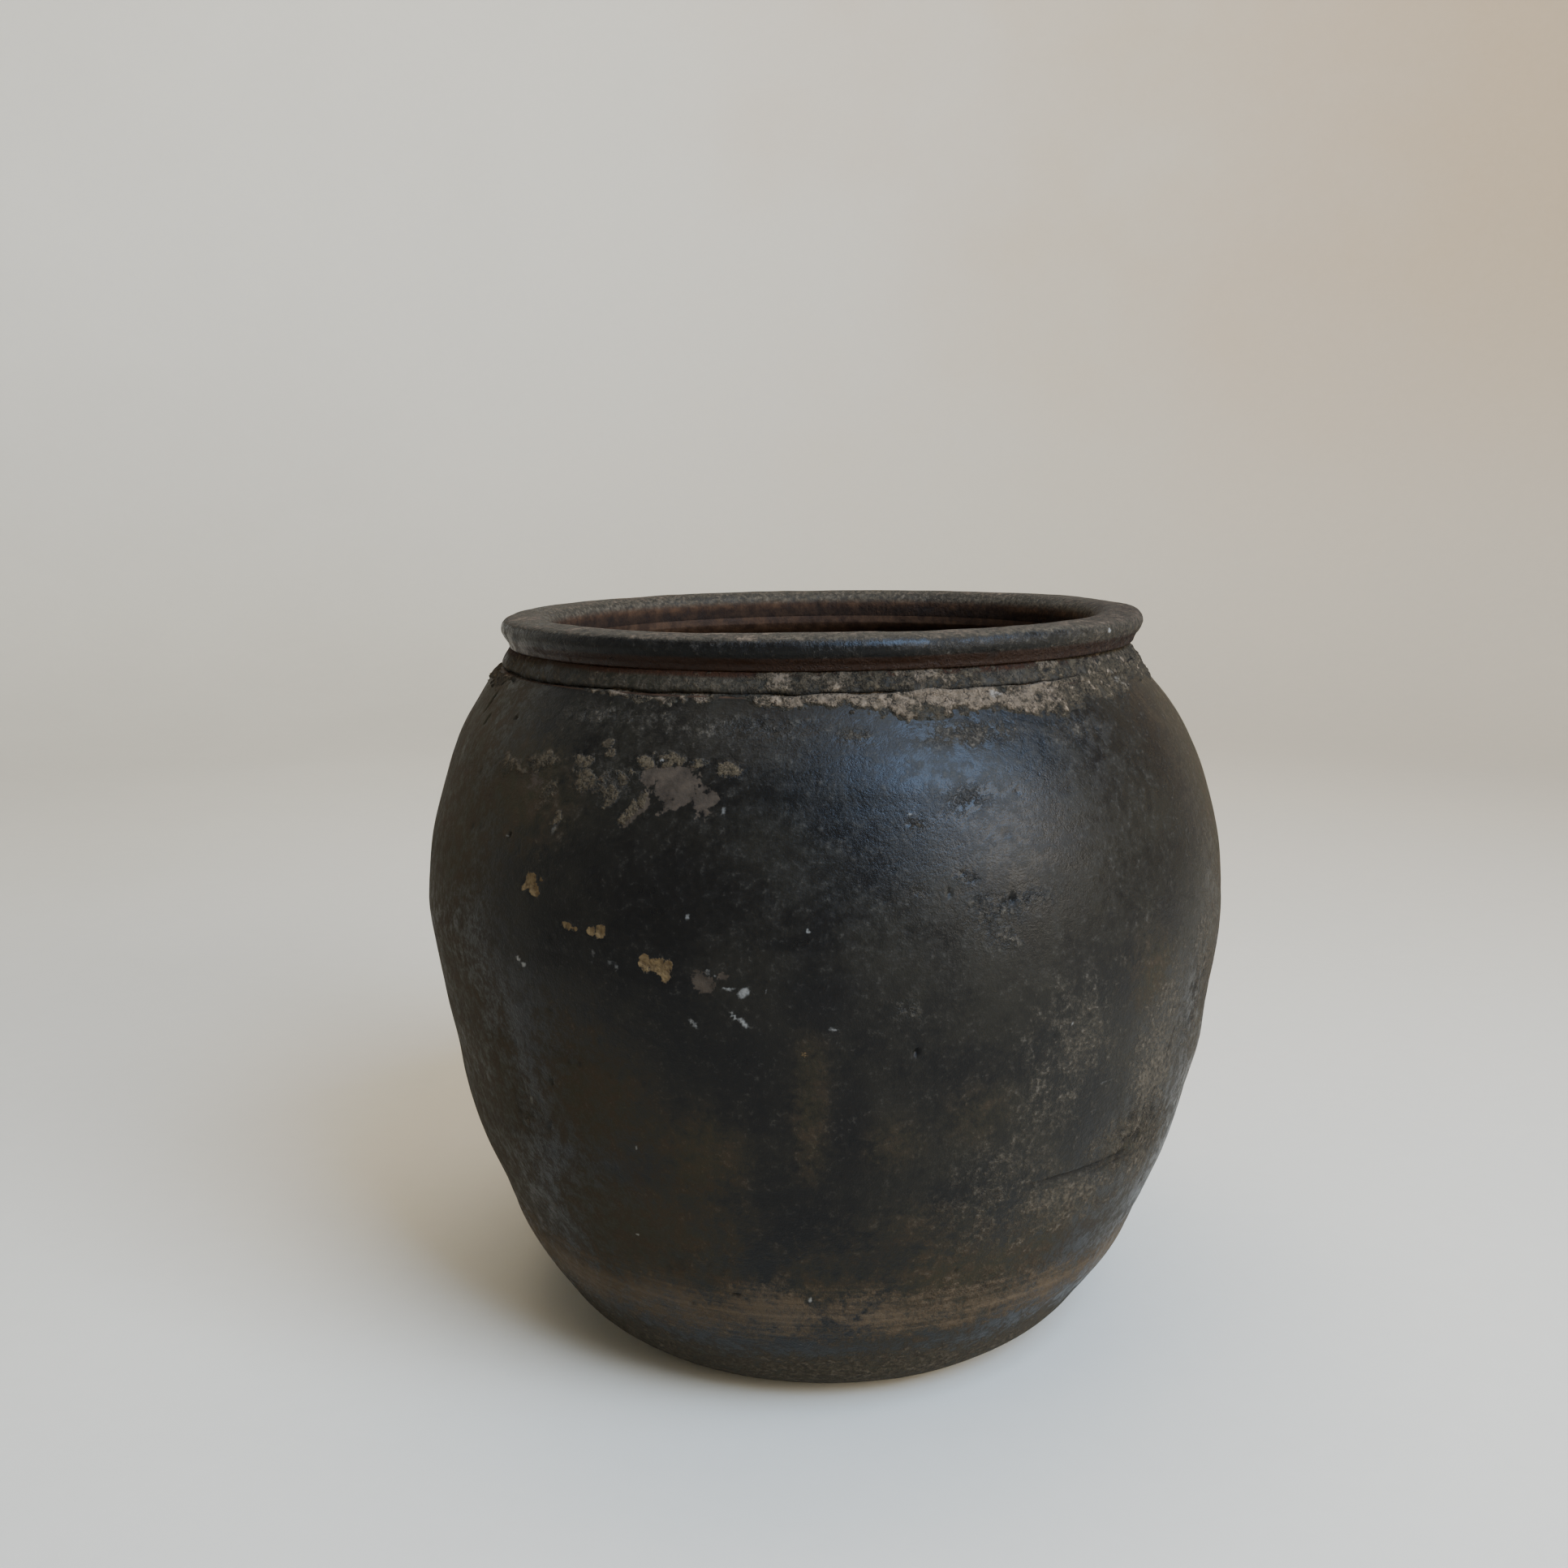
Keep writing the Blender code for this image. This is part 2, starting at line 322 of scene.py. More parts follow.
# Reddish-brown and olive ground, where the fire reached the clay.
WARM = (
    (-74, 290, 140, 150, 0, 2),
    (-46, 303, 60, 50, 0, 1.2),
    (-68, 150, 140, 170, 0, 2),
    (-34, 165, 70, 90, 0, 0.85),
    (-30, 100, 110, 90, 0, 0.95),
    (-18, 150, 50, 50, 0, 0.6),
    (-3, 178, 16, 80, 0, 0.55),
    (6, 160, 40, 30, 0, 0.3),
    (18, 172, 40, 40, 0, 0.25),
    (44, 225, 40, 40, 0, 0.5),
    (20, 80, 160, 90, 0, 0.7),
    (76, 270, 80, 160, 0, 1.1),
    (66, 200, 50, 80, 0, 0.9),
    (48, 135, 60, 30, -0.3, 0.85),
    (40, 64, 60, 20, 0, 0.8),
    (135, 240, 120, 90, 0, 0.75),
    (-130, 230, 110, 120, 0, 0.85),
    (180, 120, 120, 60, 0, 0.7),
)

# Dense black soot.
SOOT = (
    (-4, 252, 44, 10, 0, 1),
    (-2, 228, 38, 40, 0, 1),
    (2, 165, 22, 80, 0, 0.9),
    (-12, 200, 70, 50, 0, 0.8),
    (-20, 268, 90, 50, 0, 0.9),
    (-36, 245, 50, 50, 0, 0.7),
    (6, 100, 60, 40, 0, 0.6),
    (-125, 290, 70, 60, 0, 0.8),
    (165, 180, 80, 70, 0, 0.8),
    (100, 180, 50, 70, 0, 0.5),
)

# Small deep pits.
PITS = (
    (9.5, 204.3, 2.4, 4.5, 0.2, 1.6),
    (-14, 75.5, 4.5, 2.4, -0.3, 1.4),
    (-54, 334, 4, 2.6, 0.3, 1.5),
    (21.2, 267, 3, 4.5, 0.3, 1.2),
    (20.2, 266, 2.5, 2.5, 0, 1),
    (15.2, 279, 4, 1.6, -0.5, 0.9),
    (16.6, 276.6, 4.5, 1.6, -0.3, 0.8),
    (13.3, 271.8, 1.8, 3.5, 0.2, 0.8),
    (-46.3, 284.1, 1.4, 6, 0.3, 1.2),
    (-67, 337, 1.8, 16, 0.35, 1.4),
    (-64, 330, 1.8, 8, 0.2, 1.2),
    (-39, 172, 1.6, 5, 0.2, 0.7),
    (-41, 148, 2, 6, 0.4, 0.7),
    (18, 88, 2, 3, 0.2, 0.7),
    (35, 129.8, 84, 3.2, 0, 0.9),
    (42, 126.5, 30, 2.4, 0, 0.7),
    (52, 178, 2, 22, 0.3, 0.8),
    (9.2, 300.6, 6, 1.6, -0.2, 0.6),
    (105, 205, 3, 3.5, 0, 1.3),
    (-170, 262, 3.5, 3, 0.2, 1.3),
    (-118, 130, 2.5, 5, 0.2, 1.1),
)

# Rough ground full of small pits, where grit was dragged out.
PITTED = (
    (19, 260, 20, 14, 0.2, 1),
    (20, 252, 16, 12, -0.2, 0.9),
    (24, 266, 20, 8, 0, 0.8),
    (17, 268, 12, 6, 0, 0.8),
    (15.7, 277.5, 9, 5, -0.4, 0.9),
    (10, 300, 10, 5, -0.2, 0.9),
    (10, 272, 6, 5, 0, 0.7),
    (17, 309, 22, 12, 0.4, 0.5),
    (8, 223, 16, 10, -0.3, 0.6),
    (48, 140, 60, 44, -0.3, 0.9),
    (60, 190, 40, 60, 0, 0.7),
    (-46, 150, 30, 34, 0.3, 0.5),
    (-20, 92, 40, 20, 0, 0.5),
    (24, 75, 80, 20, 0, 0.6),
    (18, 130, 60, 60, 0, 0.35),
    (3.2, 335, 14, 8, 0, 1),
    (20.5, 334, 46, 12, 0, 1),
    (38, 331, 34, 12, 0, 1),
    (-8, 338, 40, 8, 0, 0.7),
    (-36, 340, 50, 10, 0, 0.7),
    (-45, 316, 24, 12, 0, 0.6),
    (-30, 314, 26, 20, 0, 0.6),
    (150, 190, 50, 40, 0, 0.7),
    (-130, 270, 40, 30, 0, 0.6),
    (170, 334, 90, 14, 0, 0.7),
    (-110, 336, 90, 12, 0, 0.6),
)

# The luting under the collar, bearing by bearing: lower edge and upper edge in mm, how proud it stands in
# mm, and how much of it is bare buff clay. Where its upper edge is above the crack, it covers the collar.
LUTING = (
    (-180, 340, 351, 1.4, 0.4),
    (-150, 336, 357, 1.8, 0.5),
    (-115, 342, 351, 1.2, 0.3),
    (-85, 341, 351, 1.4, 0.4),
    (-62, 343.5, 351, 1.1, 0.3),
    (-45, 344.5, 351, 1, 0.5),
    (-35, 343, 351, 1.2, 0.7),
    (-22, 343.5, 351, 1, 0.6),
    (-12, 341, 351.2, 1.3, 0.9),
    (-3, 340.5, 351.2, 1.6, 1),
    (6, 339, 351.6, 1.8, 0.9),
    (13, 335.5, 351.8, 2, 0.8),
    (21, 337.5, 352, 2.2, 1),
    (29, 334.5, 352, 2.2, 0.9),
    (38, 333.5, 352, 2, 0.7),
    (46, 337, 357, 1.6, 0.4),
    (60, 339, 362, 1.8, 0.3),
    (88, 341, 362, 1.8, 0.3),
    (115, 336, 358, 1.9, 0.5),
    (145, 342, 351, 1.2, 0.4),
    (180, 340, 351, 1.4, 0.4),
)
# The collar, bearing by bearing: how rough it is, and how far it bulges past the neck, from 0 to 1.
COLLAR = (
    (-180, 0.6, 0.9),
    (-90, 0.35, 1),
    (-60, 0.3, 1),
    (-30, 0.12, 1),
    (-16, 0.35, 0.95),
    (-6, 0.95, 0.9),
    (12, 1, 0.85),
    (28, 0.75, 0.8),
    (42, 0.8, 0.7),
    (62, 1, 0.35),
    (95, 1, 0.35),
    (130, 0.7, 0.8),
    (180, 0.6, 0.9),
)
# What each mark takes off the wall or adds to it, in mm.
WALL_RELIEF = {
    "laps": -0.30,
    "grooves": 0.10,
    "bare": -0.35,
    "chip": -0.65,
    "crumbs": 1.00,
    "pits": -1.10,
    "craters": -0.60,
    "pebbles": 0.50,
    "splits": -0.40,
    "pinholes": -0.35,
    "scuffs": 1.00,
    "pale": 0.15,
}
# How uneven hands left each skin: mm proud, squeeze along x, y and z, metres across a lump, octaves, seed.
WALL_NOISE = ((0.9, 1, 0.16, 2, 21), (0.28, 1, 0.045, 2, 22), (0.07, 1, 0.010, 2, 23))
INSIDE_NOISE = ((0.9, 1, 0.05, 3, 46),)
COLLAR_NOISE = ((0.7, (1, 1, 0.4), 0.045, 2, 64),)
LIP_NOISE = (
    (0.55, (1, 1, 0.2), 0.07, 2, 71),
    (0.22, 1, 0.018, 2, 72),
    (0.12, (0.06, 0.06, 1), 0.0030, 1, 73),
)
FRAY_NOISE = ((0.6, 1, 0.0045, 1, 11), (0.4, 1, 0.0020, 1, 12))
# Grit, pebbles, nicks and holes: metres from one to the next, the share of places that have one, seed.
WALL_GRIT = (0.0034, 0.45, 43)
PINHOLES = (0.0060, 0.06, 44)
LUTING_PEBBLES = (0.0042, 0.85, 54)
LUTING_HOLES = (0.0060, 0.30, 55)
COLLAR_GRIT = (0.0040, 0.7, 62)
COLLAR_HOLES = (0.0060, 0.4, 63)
LIP_NICKS = (0.011, 0.22, 74)
LIP_GRIT = (0.0038, 0.25, 75)
# Where the lip is rough and where it is sooty: bearing and spread in degrees; and its one pale dot's bearing.
LIP_ROUGH = (75, 32)
LIP_SOOTY = (-30, 75)
LIP_DOT = 53
# Marks drawn as ragged reach a little past their size; hazy ones fade at this rate.
RAGGED_REACH = 1.15
RAGGED_SHARPNESS = 1.3
HAZE_FADING = 1.2
# Where laps, trimming, the brown band and the wear of the foot are, in metres.
LAP_WANDER = 0.0025
LAP_WIDTH = 0.0035
TRIM_FROM = 0.038
TRIM_TO = 0.092
TRIM_FADE = 0.02
GROOVE_WIDTH = 0.0032
BAND_HEIGHT = 0.060
BAND_WANDER = 0.006
BAND_WIDTH = 0.016
WEAR_TO = 0.050
WEAR_FADE = 0.030
COIL_WAVE = 0.0065
RIPPLE = 0.35  # how proud the coils' rings are inside, in mm
COLLAR_SINK = 4.5  # how far the collar sinks behind the luting at most, in mm
COLLAR_ROUGHNESS = (-1.4, 1.6)  # the deepest and the most proud that the collar's roughness goes, in mm
NOTCH = 2.2  # how deep the groove under the lip is cut on the right, in mm

BEARINGS = np.linspace(0.0, math.tau, TURNS, endpoint=False)
DEGREES = np.degrees(BEARINGS)
SINE = np.sin(BEARINGS)
COSINE = np.cos(BEARINGS)

# ---- Noise and curves

NOISE_VALUES = 4096


def clamped(value):
    return np.clip(value, 0.0, 1.0)


def smooth_step(value):
    value = clamped(value)
    return value * value * (3.0 - 2.0 * value)


def lattice_hash(cells, seed):
    """A number below NOISE_VALUES for each whole-number cell."""
    mixed = cells[..., 0] * 73856093 ^ cells[..., 1] * 19349663 ^ cells[..., 2] * 83492791
    mixed = (mixed ^ (seed * 2654435761)) & 0x7FFFFFFF
    mixed = (mixed ^ (mixed >> 13)) * 1274126177 & 0x7FFFFFFF
    return (mixed ^ (mixed >> 16)) & (NOISE_VALUES - 1)


def lumps(points, size, seed):
    """Smooth noise from -1 to 1, whose lumps are about size metres across."""
    heights = np.random.default_rng(seed).uniform(-1.0, 1.0, NOISE_VALUES)
    places = points / size
    cells = np.floor(places).astype(np.int64)
    near = places - cells
    near = near**3 * (near * (near * 6.0 - 15.0) + 10.0)
    total = np.zeros(points.shape[:-1])
    for corner in product((0, 1), repeat=3):
        share = np.prod(np.where(corner, near, 1.0 - near), axis=-1)
        total += heights[lattice_hash(cells + np.array(corner), seed)] * share
    return total


def rough(points, size, octaves, seed):
    """Noise with finer and finer lumps on its lumps, from about -1 to 1."""
    total = np.zeros(points.shape[:-1])
    weight = 0.0
    for octave in range(octaves):
        share = 0.55**octave
        total += share * lumps(points, size / 2**octave, seed + octave)
        weight += share
    return total / weight


def dimples(points, spacing, share, seed):
    """Round dimples on a jittered grid: 1 in the middle of each and 0 outside, in that share of its cells."""
    draws = np.random.default_rng(seed).uniform(0.0, 1.0, (NOISE_VALUES, 5))
    places = points / spacing
    cells = np.floor(places).astype(np.int64)
    deepest = np.zeros(points.shape[:-1])
    for step in product((-1, 0, 1), repeat=3):
        cell = cells + np.array(step)
        draw = draws[lattice_hash(cell, seed)]
        away = np.linalg.norm(places - cell - draw[..., :3], axis=-1)
        reach = np.where(draw[..., 3] < share, 0.18 + 0.35 * draw[..., 4], 1e-6)
        deepest = np.maximum(deepest, smooth_step(1.0 - away / reach))
    return deepest


def uneven(points, table):
    """The noises of a table together."""
    return sum(out * rough(points * squeeze, *noise) for out, squeeze, *noise in table)


def turned_from(bearing):
    """Degrees from a bearing to each column of a skin, from -180 to 180."""
    return (DEGREES - bearing + 180.0) % 360.0 - 180.0


def near_bearing(bearing, spread):
    """1 at a bearing, fading out past that many degrees to either side."""
    return np.exp(-((turned_from(bearing) / spread) ** 2))


def by_bearing(table, column):
    """A column of a table, read smoothly between its bearings."""
    table = np.array(table)
    return np.interp(DEGREES, table[:, 0], table[:, column], period=360)


def outline(height):
    """Radius of the wall's outside at each height, by a cubic between each two outline points."""
    radii, heights = np.array(OUTLINE).T
    rises = np.diff(radii) / np.diff(heights)
    spans = np.diff(heights)
    inner = (rises[:-1] * spans[1:] + rises[1:] * spans[:-1]) / (spans[:-1] + spans[1:])
    first = 1.5 * rises[0] - 0.5 * inner[0]
    last = 1.5 * rises[-1] - 0.5 * inner[-1]
    slopes = np.concatenate(([first], inner, [last]))
    i = np.clip(np.searchsorted(heights, height) - 1, 0, len(spans) - 1)
    t = (height - heights[i]) / spans[i]
    return (
        (2 * t**3 - 3 * t**2 + 1) * radii[i]
        + (t**3 - 2 * t**2 + t) * spans[i] * slopes[i]
        + (3 * t**2 - 2 * t**3) * radii[i + 1]
        + (t**3 - t**2) * spans[i] * slopes[i + 1]
    )


def bend(start, middle, end, count):
    """Points of a simple curve from start to end, pulled towards middle; the end is left out."""
    t = np.linspace(0.0, 1.0, count, endpoint=False)[:, None]
    return (1 - t) ** 2 * np.array(start) + 2 * t * (1 - t) * np.array(middle) + t**2 * np.array(end)


def curve_through(points, step):
    """A smooth closed curve through section points, cut into rows about step metres apart."""
    points = np.array(points)
    before = np.roll(points, 1, axis=0)
    after = np.roll(points, -1, axis=0)
    far = np.roll(points, -2, axis=0)
    rows = []
    for p0, p1, p2, p3 in zip(before, points, after, far):
        count = max(2, int(np.linalg.norm(p2 - p1) / step))
        t = np.linspace(0.0, 1.0, count, endpoint=False)[:, None]
        slope = (p2 - p0) * t
        bow = (2 * p0 - 5 * p1 + 4 * p2 - p3) * t**2
        twist = (3 * p1 - p0 - 3 * p2 + p3) * t**3
        rows.append(0.5 * (2 * p1 + slope + bow + twist))
    return np.concatenate(rows)


# ---- Skins


class Skin:
    """A surface turned round the pot: rows of section points (radius, height), each at every bearing."""

    def __init__(self, section, closed=False):
        self.closed = closed
        self.radius, self.height = section.T
        along = self.along(section)
        along /= np.linalg.norm(along, axis=1)[:, None]
        self.outward = np.stack((along[:, 1], -along[:, 0]), axis=1)
        self.run = np.concatenate(([0.0], np.cumsum(np.linalg.norm(np.diff(section, axis=0), axis=1))))
        self.even = self.swept(np.zeros((len(section), TURNS)))
        self.fray = uneven(self.even, FRAY_NOISE)
        self.marks = {}

    def along(self, rows):
        """The direction from each row to the next."""
        if self.closed:
            return np.roll(rows, -1, axis=0) - np.roll(rows, 1, axis=0)
        return np.gradient(rows, axis=0)

    def above(self, height, fade):
        """1 well above a height and 0 below it, row by row."""
        return smooth_step((self.height[:, None] - height) / fade)

    def below(self, height, fade):
        """1 well below a height and 0 above it, row by row."""
        return smooth_step((height - self.height[:, None]) / fade)

    def swept(self, proud):
        """The skin's points with each pushed out, square to the section, by its own amount."""
        radius = self.radius[:, None] + self.outward[:, :1] * proud
        height = self.height[:, None] + self.outward[:, 1:] * proud
        return np.stack((radius * SINE, -radius * COSINE, height), axis=-1)

    def shape(self, proud):
        """Sets the finished points, each that many mm proud, and their normals."""
        self.points = leant(self.swept(proud * MM))
        round_pot = np.roll(self.points, -1, axis=1) - np.roll(self.points, 1, axis=1)
        normals = np.cross(round_pot, self.along(self.points))
        length = np.linalg.norm(normals, axis=-1, keepdims=True)
        self.normals = normals / np.maximum(length, 1e-12)

    def far(self, mark, rows):
        """How far each point is from a mark's middle, where 1 is the mark's edge."""
        bearing, height, width, tall, lean = mark[:5]
        heights = self.height[rows]
        middle = np.interp(height * MM, heights, self.run[rows])
        radius = np.interp(height * MM, heights, self.radius[rows])
        up = (self.run[rows] - middle)[:, None]
        across = np.radians(turned_from(bearing)) * radius - lean * up
        return np.hypot(across / (width * MM / 2), up / (tall * MM / 2))

    def ragged(self, marks, rows, fraying=0.45):
        """The marks together, each strong in its middle and torn off at its edge."""
        total = np.zeros(self.fray[rows].shape)
        for mark in marks:
            inside = RAGGED_REACH - self.far(mark, rows) + fraying * self.fray[rows]
            total = np.maximum(total, smooth_step(inside * RAGGED_SHARPNESS) * mark[5])
        return total

    def hazy(self, marks, rows):
        """The marks together, each fading out past its edge."""
        total = np.zeros(self.fray[rows].shape)
        for mark in marks:
            total = np.maximum(total, np.exp(-HAZE_FADING * self.far(mark, rows) ** 2) * mark[5])
        return total

    def keep(self, rows=slice(None), **marks):
        """Keeps marks for the material, with nothing of them off these rows."""
        for name, values in marks.items():
            whole = np.zeros(self.fray.shape)
            whole[rows] = values
            self.marks[name] = clamped(whole)


def leant(points):
    """The points after the neck's lean: nothing low on the wall, and all of it from the neck up."""
    share = smooth_step((points[..., 2] - LEAN_FROM) / (LEAN_FULL - LEAN_FROM))
    moved = points.copy()
    moved[..., 2] += share * math.tan(NECK_TILT) * points[..., 0]
    moved[..., 0] += share * NECK_SHIFT
    return moved


def set_in(point_height):
    """The point inside the wall that lies under the outline at that height."""
    radius = outline(point_height)
    slope = (outline(point_height + 1e-5) - outline(point_height - 1e-5)) / 2e-5
    length = np.hypot(1.0, slope)
    return np.stack((radius - WALL / length, point_height + WALL * slope / length), axis=-1)


def level_rows(first, last, height, count, endpoint=True):
    """Section points at one height, from one radius to another."""
    across = np.linspace(first, last, count, endpoint=endpoint)
    return np.stack((across, np.full(count, height)), axis=1)


def outside_rows(low, high):
    """Section points up the outside from one height to another."""
    step = NECK_STEP if low >= COURSES[-1][1] else ROW_STEP
    length = math.hypot(high - low, outline(high) - outline(low))
    heights = np.linspace(low, high, int(length / step), endpoint=False)
    return np.stack((outline(heights), heights), axis=1)


def inside_rows(high, low):
    """Section points down the inside from one height to another."""
    return set_in(np.linspace(high, low, int((high - low) / INSIDE_STEP) + 2, endpoint=False))


def wall_skin():
    """The whole wall as one skin, from the middle of the underside up the outside and down the inside."""
    foot = (outline(FOOT_TURN), FOOT_TURN)
    parts = [
        level_rows(CAP_RADIUS, UNDERSIDE_RADIUS, 0.0, UNDERSIDE_ROWS, endpoint=False),
        bend((UNDERSIDE_RADIUS, 0.0), (FOOT_CORNER, 0.0), foot, FOOT_ROWS),
    ]
    starts = [FOOT_TURN] + [start for _, start in COURSES[1:]] + [NECK_HEIGHT]
    outside = []
    for low, high in zip(starts, starts[1:]):
        outside.append(sum(map(len, parts)))
        parts.append(outside_rows(low, high))
    top_row = sum(map(len, parts))
    crack = (outline(NECK_HEIGHT), NECK_HEIGHT)
    parts.append(bend(crack, NECK_CORNER, (NECK_RADIUS, NECK_FOOT), NECK_ROWS))
    parts.append(np.array(NECK_SECTION))
    throat_row = sum(map(len, parts))
    throat = (THROAT_BACK + THROAT_FLARE, THROAT_FOOT)
    under_neck = tuple(set_in(UNDER_NECK))
    parts.append(bend((THROAT_BACK, NECK_TOP), (THROAT_BACK, THROAT_CORNER), throat, NECK_ROWS))
    flare = (THROAT_BACK + UNDER_NECK_FLARE, UNDER_NECK_CORNER)
    parts.append(bend(throat, flare, under_neck, BEND_ROWS))
    laps = [start + LAP_RISE for _, start in COURSES[:1:-1]]
    laps = [UNDER_NECK] + laps + [COURSES[1][1] + LAP_RISE / 2]
    inside = []
    for high, low in zip(laps, laps[1:]):
        inside.append(sum(map(len, parts)))
        parts.append(inside_rows(high, low))
    inside.append(sum(map(len, parts)))
    corner = set_in(laps[-1])
    floor_edge = corner[0] - FLOOR_TURN
    parts.append(bend(tuple(corner), (corner[0] - FLOOR_CORNER, FLOOR), (floor_edge, FLOOR), BEND_ROWS))
    parts.append(level_rows(floor_edge, CAP_RADIUS, FLOOR, FLOOR_ROWS))
    skin = Skin(np.concatenate(parts))
    skin.outside = slice(0, top_row)
    skin.top_row = top_row
    skin.throat_row = throat_row
    skin.starts = [0] + outside[1:] + [top_row]
    skin.laps = inside[::-1]
    return skin


# ---- The wall's shape and marks


def hand_shape(skin, rows):
    """How far, in mm, hands and tools left the outside from a true turned shape."""
    proud = uneven(skin.even[rows], WALL_NOISE)
    for bearing, height, turn_spread, spread, out in BULGES:
        up = (skin.height[rows] / MM - height) / spread
        proud += out * np.exp(-up[:, None] ** 2) * near_bearing(bearing, turn_spread)
    return proud


def lap_lines(skin, rows):
    """Shallow creases where the courses were lapped, never quite level and smoothed away in places."""
    even = skin.even[rows]
    level = LAP_WANDER * lumps(even * (1, 1, 0), 0.11, 31)
    kept = 0.5 + 0.5 * lumps(even * (1, 1, 0.3), 0.07, 32)
    crease = np.zeros(even.shape[:-1])
    for _, start in COURSES[2:]:
        away = (skin.height[rows][:, None] - start - level) / LAP_WIDTH
        crease += np.exp(-(away**2)) * kept
    return crease


def trimmed(skin, rows):
    """Level grooves round the foot, where it was trimmed with the pot standing upright."""
    even = skin.even[rows]
    band = skin.above(TRIM_FROM, TRIM_FADE)[rows] * skin.below(TRIM_TO, TRIM_FADE)[rows]
    grooves = lumps(even * (0.10, 0.10, 1.0), GROOVE_WIDTH, 33)
    return band * grooves * (0.5 + 0.5 * lumps(even, 0.05, 34))


def foot_band(skin, rows):
    """The scraped, brown band round the foot, which wanders up and down a little."""
    even = skin.even[rows]
    middle = BAND_HEIGHT + BAND_WANDER * lumps(even * (1, 1, 0), 0.15, 47)
    away = (skin.height[rows][:, None] - middle) / BAND_WIDTH
    return np.exp(-(away**2)) * (0.65 + 0.5 * rough(even, 0.03, 3, 48))


def wall_marks(skin, rows):
    """How strong each kind of mark is at every point of the outside."""
    even = skin.even[rows]
    fray = skin.fray[rows]
    grit = dimples(even, *WALL_GRIT)
    crust = skin.ragged(CRUST, rows, 0.7)
    pitted = skin.hazy(PITTED, rows)
    worn = skin.hazy(WORN, rows) * (0.75 + 0.5 * rough(even, 0.05, 3, 41))
    return {
        "laps": lap_lines(skin, rows),
        "grooves": trimmed(skin, rows),
        "bare": skin.ragged(BARE, rows),
        "chip": skin.ragged(CHIPS, rows),
        "crust": crust,
        "crumbs": crust * (0.15 + 0.45 * clamped(0.5 + fray) + 0.4 * grit),
        "pits": skin.ragged(PITS, rows, 0.5),
        "pitted": pitted,
        "craters": pitted * smooth_step((rough(even, 0.0050, 2, 42) - 0.18) / 0.16),
        "pebbles": pitted * grit,
        "splits": pitted * smooth_step(1.0 - np.abs(lumps(even, 0.0065, 49)) / 0.14),
        "pinholes": dimples(even, *PINHOLES),
        "worn": worn,
        "scuffs": worn * (0.16 * fray + 0.12 * grit),
        "pale": skin.ragged(PALE, rows, 0.6),
    }


def inside_ripple(skin, rows):
    """The rings of the coils, hardly smoothed, inside the pot; none at the neck or amid the floor."""
    coils = np.sin(skin.run[rows] / COIL_WAVE)[:, None] * (0.5 + 0.5 * lumps(skin.even[rows], 0.06, 45))
    ripple = RIPPLE * coils + uneven(skin.even[rows], INSIDE_NOISE)
    ripple *= smooth_step((skin.run[rows] - skin.run[skin.throat_row]) / 0.02)[:, None]
    return ripple * smooth_step((skin.radius[rows] - CAP_RADIUS) / 0.05)[:, None]


def shape_wall(skin):
    """Presses the marks into the wall's outside, ripples its inside, and keeps the marks for the material."""
    rows = skin.outside
    marks = wall_marks(skin, rows)
    proud = hand_shape(skin, rows)
    for name, height in WALL_RELIEF.items():
        proud += height * marks[name]
    total = np.zeros(skin.fray.shape)
    total[rows] = proud * smooth_step((np.arange(len(proud)) - UNDERSIDE_ROWS) / FOOT_ROWS)[:, None]
    inner = slice(skin.throat_row, len(skin.height))
    total[inner] = inside_ripple(skin, inner)
    skin.shape(total)
    low = skin.below(WEAR_TO, WEAR_FADE)[rows]
    gritty = 0.35 * marks["pitted"] + 0.5 * marks["pebbles"]
    # Painted shade: the colour is darkened in pits, craters, splits, pinholes and lap creases.
    hollow = marks["pits"] + 0.7 * marks["craters"] + 0.7 * marks["splits"] + marks["pinholes"]
    skin.keep(rows, **{name: marks[name] for name in ("bare", "crust", "chip", "pale")})
    skin.keep(
        rows,
        worn=np.maximum(np.maximum(marks["worn"], 0.6 * low), gritty),
        torn=np.maximum(marks["pitted"], 0.8 * marks["crust"]),
        warm=np.maximum(skin.hazy(WARM, rows), low),
        soot=skin.hazy(SOOT, rows),
        scrape=foot_band(skin, rows),
        hollow=hollow + 0.4 * marks["laps"],
    )
    skin.keep(slice(skin.top_row, None), inside=1.0)


# ---- The neck's coils and luting


